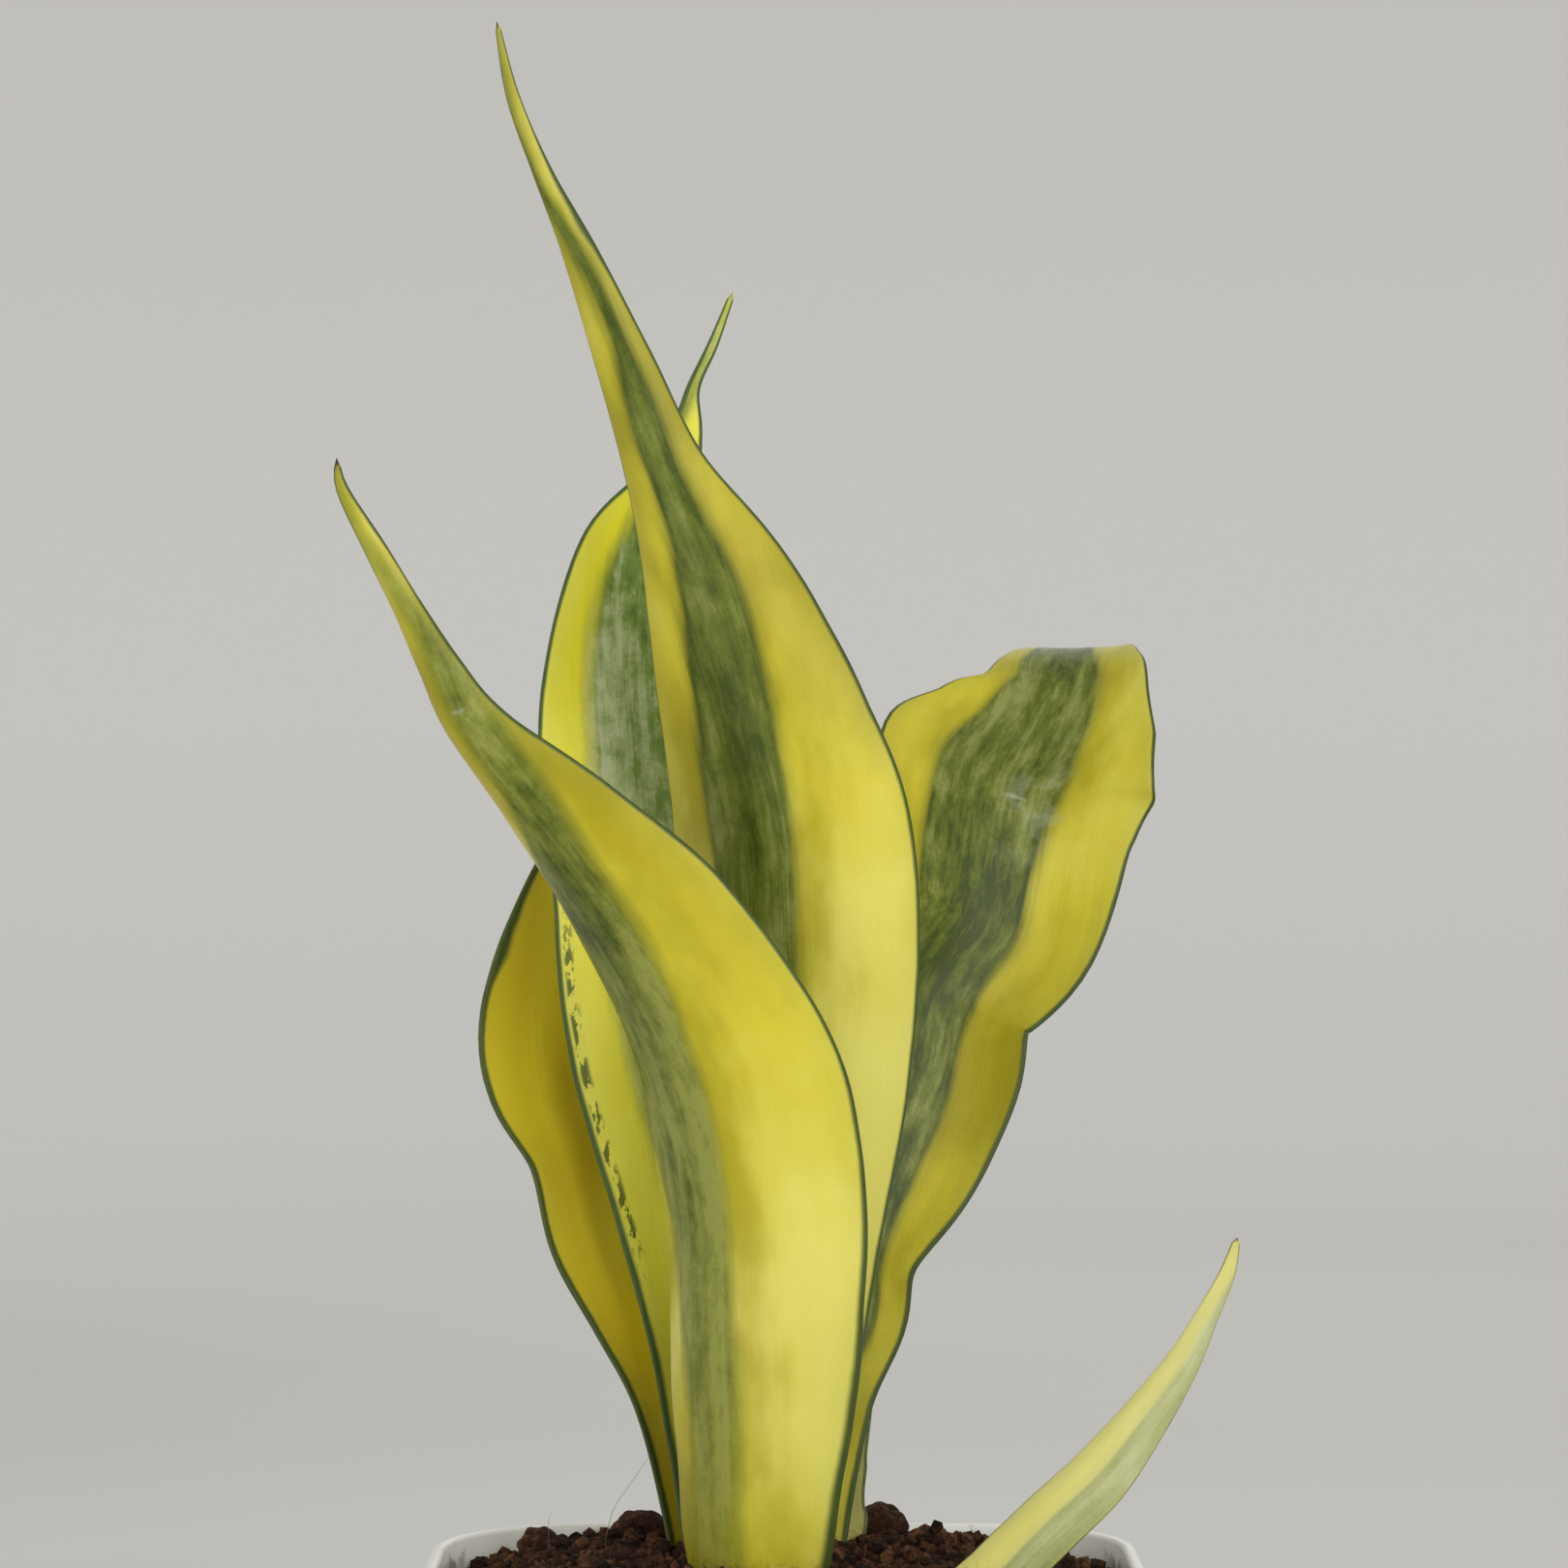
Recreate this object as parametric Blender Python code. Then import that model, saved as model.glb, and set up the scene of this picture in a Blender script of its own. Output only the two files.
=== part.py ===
"""Potted snake plant: six variegated sword leaves growing from a rhizome in a rounded-square pot.

Lengths are in millimetres and become metres as each mesh is made. X is to the right, Y runs away from the
front and Z is up. The pot stands on Z = 0, its floor centred on the origin. The plant hangs on an empty at
the middle of the soil line, so it rides with the height of the pot.
"""

import math
from dataclasses import dataclass

import bmesh
import bpy
from mathutils import Matrix, Vector, noise

MM = 0.001

# ---- overall sizes ----
POT_WIDTH = 144.0  # across the flats, outside, at the rim
POT_HEIGHT = 130.0
PLANT_HEIGHT = 306.0  # soil line to the tip of the tallest leaf

# ---- pot ----
POT_CORNER_RADIUS = 31.0
POT_BASE_RATIO = 0.76  # width of the base over the width of the rim
POT_WALL = 2.6
POT_FLOOR = 4.0
RIM_ROUND = 1.0  # radius of the rounded rim
BASE_ROUND = 2.5  # chamfer where the wall meets the base
DRAIN_DIAMETER = 9.0
DRAIN_CIRCLE = 27.0  # radius of the circle that the drain holes sit on
DRAIN_COUNT = 4

# ---- soil ----
SOIL_BELOW_RIM = 5.0  # at the wall
SOIL_MOUND = 7.5  # rise from the wall to the middle
SOIL_ROUGHNESS = 1.6
PLANT_BELOW_RIM = 4.0  # depth of the plant's own zero, which the leaf tables count from
SOIL_DIP_AT_WALL = 1.5
FIT_GAP = 0.3  # clearance between two pieces that touch
LEAF_SOCKET_GAP = 0.45  # clearance between a leaf and the soil around it

# ---- plant under the soil ----
CROWN_DEPTH = 22.0  # depth of the leaf feet below the soil line
CROWN_LENGTH = 50.0
CROWN_WIDTH = 42.0
CROWN_THICKNESS = 13.0
CROWN_ROUND = 4.0  # rounding of the crown's edge
CROWN_CENTRE = (-3.0, 5.0)
BRANCH_DIAMETER = 12.0  # the runner that feeds the young leaf
ROOT_DIAMETER = 3.4
ROOT_COUNT = 7
ROOT_SPREAD = 36.0
ROOT_DROP = 40.0

# ---- leaves ----
LEAF_THICKNESS = 3.0  # along the middle, halfway up
FOOT_THICKNESS = 3.6
EDGE_THICKNESS = 1.0
TIP_THICKNESS = 0.9
REFERENCE_HEIGHT = 306.0  # plant height that the leaf tables are written for
SECTION_STEPS = 8  # faces across a leaf
SECTION_PITCH = 9.0  # distance between sections along a leaf

# ---- finishes: colour, roughness, metallic ----
FINISHES = {
    "pot_white": ((0.83, 0.83, 0.80), 0.32, 0.0),
    "soil_brown": ((0.055, 0.032, 0.020), 0.95, 0.0),
    "rhizome_tan": ((0.46, 0.30, 0.14), 0.75, 0.0),
    "leaf_yellow": ((0.60, 0.56, 0.10), 0.42, 0.0),
    "leaf_gold": ((0.48, 0.33, 0.04), 0.45, 0.0),
    "leaf_young": ((0.62, 0.62, 0.20), 0.42, 0.0),
    "sheath_pale": ((0.60, 0.60, 0.42), 0.60, 0.0),
}


@dataclass(frozen=True)
class Leaf:
    """A leaf as a run of stations from its foot to its tip.

    Each station is (x, y, z, width, turn, cup): the middle of the leaf's chord from the soil line's centre,
    the width along the chord, the chord's turn about the vertical in degrees (right edge backwards is
    positive) and how far the middle stands out of the chord towards the front (backwards is negative).
    """

    name: str
    finish: str
    stations: tuple
    wave: float = 0.0  # height of the ripple along the edges
    wave_length: float = 60.0
    foot_thickness: float = FOOT_THICKNESS
    thickness: float = LEAF_THICKNESS


LEAVES = (
    Leaf(
        "leaf_front", "leaf_yellow",
        (
            (-4, -9, -22, 15, -8, 3.5), (-5, -12, 0, 24, -14, 4.5), (-5, -14, 14, 31, -20, 6.5),
            (-4.5, -15, 29, 35, -24, 8), (-3.5, -17, 55, 42, -28, 10), (-3.5, -19, 79, 45, -31, 11),
            (-10, -22, 109, 47.5, -33, 11), (-25.5, -26, 136, 38.5, -33, 9), (-42.3, -31, 155.5, 27, -30, 6.5),
            (-57.8, -36, 171.5, 15, -26, 4), (-64.5, -39, 182, 9, -20, 2.4), (-70.5, -41, 193, 5.6, -10, 1.2),
            (-76.5, -43, 204, 4.2, 0, 0.7), (-82.5, -45, 215, 2.4, 0, 0.2), (-83.6, -46, 221, 0.8, 0, 0),
        ),
        wave=0.8, wave_length=52.0,
    ),
    Leaf(
        "leaf_tall", "leaf_yellow",
        (
            (-3, -2, -22, 13, 0, 3), (-3, -3, 2, 19, -4, 4), (-1, -3, 39, 29, -10, 6), 
            (0.5, -3, 67, 36, -14, 7.5), (2.5, -3, 96, 44, -17, 8.5), (3, -3, 125, 48.5, -18, 9), (1.5, -3, 151, 49.5, -18, 9),
            (-3.5, -4, 171, 43, -16, 8), (-12.5, -6, 198, 30.5, -12, 6), (-23, -8, 221, 16.5, -8, 3),
            (-31, -11, 242, 11.5, -8, 2), (-39.5, -15, 263, 6.8, -10, 1.2), (-46.5, -18, 278, 3.8, -10, 0.7),
            (-52, -21, 292, 2.6, -10, 0.4), (-55, -24, 306, 0.8, 0, 0.1),
        ),
        wave=0.8, wave_length=70.0,
    ),
    Leaf(
        "leaf_back", "leaf_yellow",
        (
            (-7, 4.5, -22, 13, -4, -3), (-10.5, 5, 5, 17, -4, -4), (-12.5, 7, 31, 21.5, -6, -6),
            (-14, 9, 53, 27, -8, -7), (-17, 11, 74, 33.5, -10, -8), (-20, 13, 96, 40.5, -10, -8),
            (-22.5, 16, 118, 45, -10, -8), (-24, 19, 141, 46.5, -10, -8), (-26, 22, 164, 47.5, -8, -8),
            (-27.3, 25, 186, 44, -8, -7), (-26, 28, 208, 33, -5, -5), (-23, 31, 221, 18, 5, -2.5),
            (-19.6, 34, 233, 6.4, 15, -1), (-18.3, 36, 241, 2.8, 25, -0.4), (-14.5, 40, 250, 2.2, 15, -0.2),
            (-10.5, 44, 261, 1.2, 0, 0),
        ),
        wave=1.0, wave_length=64.0,
    ),
    Leaf(
        "leaf_left", "leaf_gold",
        (
            (-12, 14, -22, 12, 14, -2.5), (-15.5, 15, 6, 14, 16, -4), (-20, 19.5, 32, 18, 18, -5),
            (-25.5, 24.5, 53, 26.5, 20, -6), (-31.5, 29, 70, 34.5, 20, -7), (-34.5, 32, 86, 37, 18, -8),
            (-38.5, 35, 100, 44.5, 17, -8), (-40, 38, 111, 44.5, 15, -8), (-39, 41, 125, 39.5, 13, -7),
            (-37.5, 44, 140, 29, 10, -5), (-34.5, 47, 156, 15.5, 5, -3), (-31, 50, 177, 1.6, 0, -0.3),
        ),
        wave=1.6, wave_length=46.0,
    ),
    Leaf(
        "leaf_right", "leaf_yellow",
        (
            (5, 9.5, -22, 13, 18, -3), (6.5, 13, 5, 16.5, 20, -4), (8, 16, 35, 21, 20, -5),
            (12.5, 18, 53, 26, 20, -5.5), (15, 20, 67, 26.5, 20, -6), (22.5, 23.5, 85, 36.5, 19, -7),
            (29.5, 28, 103, 40, 18, -8), (33, 32, 118, 39, 17, -8), (42.5, 36, 133, 46.5, 16, -8),
            (48, 43, 154, 53, 12, -8), (50, 50, 165.5, 54.5, 5, -7), (53, 60, 174.5, 48, -5, -5),
            (57, 68, 181, 39, -11, -2.5), (60.5, 77, 185.5, 31, -14, -1), (63, 88, 188, 23, -14, -0.5),
            (65.5, 99, 186, 15, -12, -0.5), (67.5, 109, 179.5, 7, -8, -0.3), (68.5, 115, 173, 1.2, 0, 0),
        ),
        wave=1.2, wave_length=58.0,
    ),
    Leaf(
        "leaf_small", "leaf_young",
        (
            (28, -17, -20, 8, -18, 1.2), (33, -24, 0, 12, -24, 2), (41.3, -27, 9.5, 13.3, -25, 2.3),
            (50.3, -28, 18.5, 13.3, -25, 2.5), (60, -29, 28, 12.2, -22, 2.3), (68.4, -30, 39, 9.4, -20, 1.8),
            (75.7, -31, 50, 6.4, -15, 1.2), (80.5, -31.5, 59.5, 4.2, -10, 0.7), (84, -32, 67, 3, 0, 0.4),
            (86, -32, 74, 1.2, 0, 0.1),
        ),
        wave=0.4, wave_length=30.0, foot_thickness=2.8, thickness=2.2,
    ),
    Leaf(
        "sheath", "sheath_pale",
        (
            (-4, 18, -22, 24, 0, -4.5), (-4.5, 21, 0, 36, 0, -7), (-3.5, 23.5, 9, 37, 0, -7.5),
            (0, 26, 20, 34, 0, -7), (5, 27.5, 29, 25, 0, -5), (10.5, 28.5, 37, 13, 0, -2.5),
            (14, 29, 44, 1.6, 0, 0),
        ),
        wave=0.4, wave_length=26.0, foot_thickness=2.2, thickness=1.5,
    ),
)

# ---- loose lumps of soil: (name, x, y, width, depth, height, seed) ----
CLODS = (
    ("clod_right", 19.0, 36.0, 12.5, 11.0, 10.0, 3),
    ("clod_left", -29.0, 35.0, 11.5, 9.0, 8.0, 5),
    ("clod_far", -50.0, 43.0, 8.5, 7.0, 6.5, 8),
    ("clod_near", -30.0, -34.0, 10.0, 9.0, 6.5, 11),
)

# ---- sizes that follow from the ones above ----
PLANT_ZERO = POT_HEIGHT - PLANT_BELOW_RIM
PLANT_SCALE = PLANT_HEIGHT / REFERENCE_HEIGHT


def clear_scene():
    """Removes every object, so that the script starts from nothing."""
    for obj in list(bpy.data.objects):
        bpy.data.objects.remove(obj, do_unlink=True)


def finish(name):
    """The named finish as a Principled material, made once."""
    if name in bpy.data.materials:
        return bpy.data.materials[name]
    colour, roughness, metallic = FINISHES[name]
    material = bpy.data.materials.new(name)
    material.use_nodes = True
    shader = material.node_tree.nodes["Principled BSDF"]
    shader.inputs["Base Color"].default_value = (*colour, 1.0)
    shader.inputs["Roughness"].default_value = roughness
    shader.inputs["Metallic"].default_value = metallic
    material.diffuse_color = (*colour, 1.0)
    return material


def add_object(name, bm, finish_name=None, parent=None):
    """Turns a bmesh in millimetres into an object, its faces pointing outwards."""
    bmesh.ops.recalc_face_normals(bm, faces=bm.faces)
    bmesh.ops.scale(bm, vec=(MM, MM, MM), verts=bm.verts)
    mesh = bpy.data.meshes.new(name)
    bm.to_mesh(mesh)
    bm.free()
    obj = bpy.data.objects.new(name, mesh)
    bpy.context.scene.collection.objects.link(obj)
    if finish_name:
        mesh.materials.append(finish(finish_name))
    if parent:
        obj.parent = parent
    return obj


def add_cutter(name, bm, parent=None):
    """A closed solid that only cuts: it isn't rendered and shows as wire."""
    cutter = add_object(name, bm, parent=parent)
    cutter.hide_render = True
    cutter.display_type = "WIRE"
    return cutter


def boolean(obj, other, operation="DIFFERENCE"):
    """Adds an exact Boolean with the other solid."""
    modifier = obj.modifiers.new(f"{operation.lower()}_{other.name}", "BOOLEAN")
    modifier.operation = operation
    modifier.solver = "EXACT"
    modifier.object = other


def loft(rings, first_point=None, last_point=None, strips=False):
    """A closed solid through equal rings; each end is one face, a cone to a point or a strip of quads."""
    bm = bmesh.new()
    rows = [[bm.verts.new(point) for point in ring] for ring in rings]
    for low, high in zip(rows, rows[1:]):
        for i in range(len(low)):
            j = (i + 1) % len(low)
            bm.faces.new((low[i], low[j], high[j], high[i]))
    for row, point, flip in ((rows[0], first_point, True), (rows[-1], last_point, False)):
        if strips:
            last = len(row) - 1
            for i in range(len(row) // 2 - 1):
                bm.faces.new((row[i], row[i + 1], row[last - i - 1], row[last - i]))
            continue
        if point is None:
            bm.faces.new(row[::-1] if flip else row)
            continue
        tip = bm.verts.new(point)
        for i in range(len(row)):
            j = (i + 1) % len(row)
            bm.faces.new((row[j], row[i], tip) if flip else (row[i], row[j], tip))
    return bm


def smooth_step(value):
    value = min(max(value, 0.0), 1.0)
    return value * value * (3.0 - 2.0 * value)


def blend_rows(rows, position):
    """Catmull-Rom blend of equal-length rows at a position that counts rows from zero."""
    index = min(int(position), len(rows) - 2)
    t = position - index
    before = rows[index - 1] if index else [2 * a - b for a, b in zip(rows[0], rows[1])]
    after = rows[index + 2] if index + 2 < len(rows) else [2 * a - b for a, b in zip(rows[-1], rows[-2])]
    return [
        0.5 * (2 * b + (c - a) * t + (2 * a - 5 * b + 4 * c - d) * t * t + (3 * b - a - 3 * c + d) * t ** 3)
        for a, b, c, d in zip(before, rows[index], rows[index + 1], after)
    ]


def leaf_positions(stations):
    """Positions along the station list, spaced by SECTION_PITCH and always holding the stations."""
    positions = [0.0]
    for index, (low, high) in enumerate(zip(stations, stations[1:])):
        length = (Vector(high[:3]) - Vector(low[:3])).length
        pieces = max(1, round(length / SECTION_PITCH))
        positions += [index + (k + 1) / pieces for k in range(pieces)]
    return positions


def leaf_section(leaf, position, grow):
    """One closed ring across the leaf: its front skin from left to right, then its back skin."""
    stations = leaf.stations
    x, y, z, width, turn, cup = blend_rows(stations, position)
    step = 0.02
    ahead = blend_rows(stations, min(position + step, len(stations) - 1))
    behind = blend_rows(stations, max(position - step, 0.0))
    along = (Vector(ahead[:3]) - Vector(behind[:3])).normalized()
    side = Vector((math.cos(math.radians(turn)), math.sin(math.radians(turn)), 0.0))
    side = (side - along * side.dot(along)).normalized()
    front = side.cross(along)

    share = position / (len(stations) - 1)
    middle = leaf.foot_thickness + (leaf.thickness - leaf.foot_thickness) * smooth_step(share * 2.5)
    middle += (TIP_THICKNESS - middle) * smooth_step((share - 0.55) / 0.45)
    edge = min(EDGE_THICKNESS, middle)
    ripple = leaf.wave * math.sin(2 * math.pi * z / leaf.wave_length) * smooth_step(width / 30.0)
    ripple *= smooth_step((z - 12.0) / 30.0)

    centre = Vector((x, y, z)) * PLANT_SCALE
    half = max(width, 0.8) * PLANT_SCALE / 2
    skins = ([], [])
    for k in range(SECTION_STEPS + 1):
        u = 2 * k / SECTION_STEPS - 1
        slope = -2 * u * cup / max(width / 2, 0.4)
        normal = (front - side * slope).normalized()
        rise = (cup * (1 - u * u) + ripple * u ** 3) * PLANT_SCALE
        thick = (edge + (middle - edge) * (1 - u * u)) / 2 + grow
        point = centre + side * u * (half + grow) + front * rise
        skins[0].append(point + normal * thick)
        skins[1].append(point - normal * thick)
    return skins[0] + skins[1][::-1]


def leaf_body(leaf, grow=0.0, reach=None):
    """The leaf as a closed solid; a reach stops it that many stations up, for a cutter."""
    positions = leaf_positions(leaf.stations)
    if reach is not None:
        positions = [position for position in positions if position <= reach]
    rings = [leaf_section(leaf, position, grow) for position in positions]
    foot = leaf.stations[0][2] * PLANT_SCALE
    rings[0] = [Vector((point.x, point.y, foot)) for point in rings[0]]
    if grow:
        rings.insert(0, [Vector((point.x, point.y, foot - 4 * grow)) for point in rings[0]])
    return loft(rings, strips=True)


def rounded_square(width, radius, z, per_corner=10):
    """Points of a rounded square, anticlockwise."""
    radius = min(radius, width / 2 - 0.5)
    points = []
    for corner in range(4):
        start = corner * math.pi / 2
        cx = (width / 2 - radius) * (1 if corner in (0, 3) else -1)
        cy = (width / 2 - radius) * (1 if corner in (0, 1) else -1)
        for k in range(per_corner + 1):
            angle = start + math.pi / 2 * k / per_corner
            points.append(Vector((cx + radius * math.cos(angle), cy + radius * math.sin(angle), z)))
    return points


def pot_width_at(z, inset=0.0):
    """Outside width of the pot at a height, less an inset at both sides."""
    share = POT_BASE_RATIO + (1 - POT_BASE_RATIO) * z / POT_HEIGHT
    return POT_WIDTH * share - 2 * inset


def pot_ring(z, inset=0.0):
    width = pot_width_at(z, inset)
    return rounded_square(width, POT_CORNER_RADIUS * pot_width_at(z) / POT_WIDTH - inset, z)


def add_pot():
    """Tapered rounded-square pot with a rounded rim, a flat floor and drain holes around its middle."""
    rings = [pot_ring(0.0, BASE_ROUND)]
    rings += [pot_ring(BASE_ROUND * (1 - math.cos(a)), BASE_ROUND * (1 - math.sin(a))) for a in (0.4, 0.9, 1.3)]
    rings += [pot_ring(POT_HEIGHT * k / 6) for k in range(1, 6)]
    angles = [math.pi / 2 * k / 4 for k in range(5)]
    lip = [(POT_HEIGHT - RIM_ROUND * (1 - math.sin(a)), RIM_ROUND * (1 - math.cos(a))) for a in angles]
    rings += [pot_ring(z, inset) for z, inset in lip]
    rings += [pot_ring(z, POT_WALL - inset) for z, inset in reversed(lip)]
    rings += [pot_ring(POT_HEIGHT * k / 6, POT_WALL) for k in range(5, 0, -1)]
    rings += [pot_ring(POT_FLOOR + 3.0, POT_WALL), pot_ring(POT_FLOOR, POT_WALL + 2.0)]
    pot = add_object("pot", loft(rings), "pot_white")
    for k in range(DRAIN_COUNT):
        angle = 2 * math.pi * (k + 0.5) / DRAIN_COUNT
        bm = bmesh.new()
        middle = Vector((DRAIN_CIRCLE * math.cos(angle), DRAIN_CIRCLE * math.sin(angle), POT_FLOOR / 2))
        bmesh.ops.create_cone(
            bm, cap_ends=True, segments=24, radius1=DRAIN_DIAMETER / 2, radius2=DRAIN_DIAMETER / 2,
            depth=POT_FLOOR * 3, matrix=Matrix.Translation(middle),
        )
        boolean(pot, add_cutter(f"drain_cutter_{k + 1}", bm))
    return pot


def soil_mean(share):
    """Height of the soil without its lumps, at a share of the way from the middle to the wall."""
    return POT_HEIGHT - SOIL_BELOW_RIM + SOIL_MOUND * smooth_step((1 - share) / 0.55)


def soil_height(x, y, share):
    """Height of the soil: a mound with lumps, dipping where it meets the wall (share 1)."""
    z = soil_mean(share)
    lumps = noise.noise(Vector((x / 9, y / 9, 1.7))) + 0.5 * noise.noise(Vector((x / 4, y / 4, 5.1)))
    return z + SOIL_ROUGHNESS * lumps * (1 - share ** 6) - SOIL_DIP_AT_WALL * share ** 8


def add_soil(cutters):
    """The soil fills the pot up to its line, clear of the wall, with a socket for every piece in it."""
    inset = POT_WALL + FIT_GAP
    low = POT_FLOOR + FIT_GAP
    rings = [pot_ring(low, inset + 2.3), pot_ring(low + 3.3, inset)]
    top = POT_HEIGHT - SOIL_BELOW_RIM - SOIL_DIP_AT_WALL
    rings += [pot_ring(low + (top - low) * k / 5, inset) for k in range(1, 5)]
    wall = pot_ring(top, inset)
    rings.append(wall)
    shares = (0.96, 0.9, 0.82, 0.74, 0.65, 0.56, 0.47, 0.38, 0.29, 0.2, 0.1)
    for share in shares:
        ring = [Vector((p.x * share, p.y * share, soil_height(p.x * share, p.y * share, share))) for p in wall]
        rings.append(ring)
    soil = add_object("soil", loft(rings, last_point=(0.0, 0.0, soil_height(0.0, 0.0, 0.0))), "soil_brown")
    for cutter in cutters:
        boolean(soil, cutter)
    return soil


def tube(points, radii, sides=10):
    """A round tube through the points, closed at both ends by a short cone."""
    rings = []
    for index, point in enumerate(points):
        ahead = points[min(index + 1, len(points) - 1)]
        behind = points[max(index - 1, 0)]
        along = (ahead - behind).normalized()
        side = along.cross(Vector((0.31, 0.17, 0.94))).normalized()
        up = side.cross(along)
        angles = [2 * math.pi * k / sides for k in range(sides)]
        rings.append([point + (side * math.cos(a) + up * math.sin(a)) * radii[index] for a in angles])
    first = points[0] + (points[0] - points[1]).normalized() * radii[0] * 0.6
    last = points[-1] + (points[-1] - points[-2]).normalized() * radii[-1] * 0.6
    return loft(rings, first, last)


def crown_body(grow=0.0):
    """Low round cushion that the leaf feet stand on; its top lies a gap below them."""
    top = -CROWN_DEPTH * PLANT_SCALE - FIT_GAP
    edge = [(CROWN_ROUND * (1 - math.cos(a)), CROWN_ROUND * (1 - math.sin(a))) for a in (0.0, 0.5, 1.0, 1.5708)]
    profile = [(inset, drop - CROWN_THICKNESS) for inset, drop in reversed(edge)]
    profile += [(inset, -drop) for inset, drop in edge]
    half = CROWN_THICKNESS / 2
    rings = []
    for inset, z in profile:
        z += grow * max(-1.0, min(1.0, (z + half) / half * 1.4))
        reach = (CROWN_WIDTH / 2 - inset + grow, CROWN_LENGTH / 2 - inset + grow)
        rings.append([
            Vector((
                CROWN_CENTRE[0] + reach[0] * math.cos(2 * math.pi * i / 28),
                CROWN_CENTRE[1] + reach[1] * math.sin(2 * math.pi * i / 28),
                top + z,
            ))
            for i in range(28)
        ])
    return loft(rings)


def branch_body(grow=0.0):
    """The runner from the crown to the foot of the young leaf."""
    foot = Vector(LEAVES[5].stations[0][:3]) * PLANT_SCALE
    radius = BRANCH_DIAMETER / 2
    end = foot - Vector((0, 0, FIT_GAP + radius))
    start = Vector((CROWN_CENTRE[0] + 6, CROWN_CENTRE[1] - 6, -CROWN_DEPTH * PLANT_SCALE - radius - 1.5))
    points = [start.lerp(end, k / 5) for k in range(7)]
    radii = [radius * share + grow for share in (0.95, 0.9, 0.86, 0.9, 0.98, 1.0, 0.8)]
    return tube(points, radii, 14)


def root_body(index, grow=0.0):
    """One root, leaving the crown downwards and outwards, thinner towards its end."""
    angle = 2 * math.pi * (index + 0.3) / ROOT_COUNT
    reach = Vector((math.cos(angle), math.sin(angle), 0))
    deep = -CROWN_DEPTH * PLANT_SCALE - CROWN_THICKNESS
    centre = Vector((CROWN_CENTRE[0], CROWN_CENTRE[1], 0))
    points = []
    for k in range(6):
        t = k / 5
        out = reach * (10 + (ROOT_SPREAD - 10) * t ** 0.8)
        sway = Vector((-reach.y, reach.x, 0)) * 4 * math.sin(5 * t + index)
        points.append(centre + out + sway + Vector((0, 0, deep + 5 - ROOT_DROP * t ** 1.3)))
    radii = [ROOT_DIAMETER / 2 * (1 - 0.45 * k / 5) + grow for k in range(6)]
    return tube(points, radii, 8)


def add_rhizome(plant):
    """Crown, runner and roots as one piece."""
    rhizome = add_object("rhizome", crown_body(), "rhizome_tan", plant)
    parts = [add_cutter("runner_body", branch_body(), plant)]
    parts += [add_cutter(f"root_body_{k + 1}", root_body(k), plant) for k in range(ROOT_COUNT)]
    for part in parts:
        boolean(rhizome, part, "UNION")
    return rhizome


def rhizome_cutters(plant):
    """The sockets of the crown, the runner and the roots, each larger than its piece by the gap."""
    bodies = {"crown": crown_body(FIT_GAP), "runner": branch_body(FIT_GAP)}
    bodies.update({f"root_{k + 1}": root_body(k, FIT_GAP) for k in range(ROOT_COUNT)})
    return [add_cutter(f"{name}_socket", body, plant) for name, body in bodies.items()]


def clod_body(clod, grow=0.0):
    """A rounded lump with uneven faces, a third of it sunk into the soil."""
    _, x, y, width, depth, height, seed = clod
    bm = bmesh.new()
    bmesh.ops.create_icosphere(bm, subdivisions=2, radius=1.0)
    share = max(abs(x), abs(y)) / (POT_WIDTH / 2 - POT_WALL)
    base = soil_mean(share) + height * 0.2
    for vert in bm.verts:
        direction = vert.co.normalized()
        bump = 1 + 0.16 * noise.noise(direction * 1.7 + Vector((seed, 0, 0)))
        size = Vector((width / 2 + grow, depth / 2 + grow, height / 2 + grow))
        vert.co = Vector((direction.x * size.x, direction.y * size.y, direction.z * size.z)) * bump
        vert.co += Vector((x, y, base))
    return bm


def add_leaves(plant):
    return [add_object(leaf.name, leaf_body(leaf), leaf.finish, plant) for leaf in LEAVES]


def leaf_cutters(plant):
    """Sockets of the leaves, from below their feet to well above the soil."""
    cutters = []
    for leaf in LEAVES:
        reach = next(k for k, station in enumerate(leaf.stations) if station[2] > 14)
        cutters.append(add_cutter(f"{leaf.name}_socket", leaf_body(leaf, LEAF_SOCKET_GAP, reach), plant))
    return cutters


def main():
    clear_scene()
    plant = bpy.data.objects.new("plant", None)
    bpy.context.scene.collection.objects.link(plant)
    plant.location = (0.0, 0.0, PLANT_ZERO * MM)
    add_pot()
    add_leaves(plant)
    add_rhizome(plant)
    for clod in CLODS:
        add_object(clod[0], clod_body(clod), "soil_brown")
    clod_sockets = [add_cutter(f"{clod[0]}_socket", clod_body(clod, FIT_GAP)) for clod in CLODS]
    add_soil(leaf_cutters(plant) + rhizome_cutters(plant) + clod_sockets)


main()
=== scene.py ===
"""Potted snake plant: the finish model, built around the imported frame.

Sizes are written in millimetres in the tables and turned into metres where a
mesh is placed. X is to the right, Y away from the viewer and Z up, with the
origin under the middle of the pot.
"""

import logging
import math
import random
from dataclasses import dataclass, field
from enum import Enum
from typing import Callable, ClassVar, Iterable, Sequence

import bmesh
import bpy
from mathutils import Matrix, Vector, noise

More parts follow.
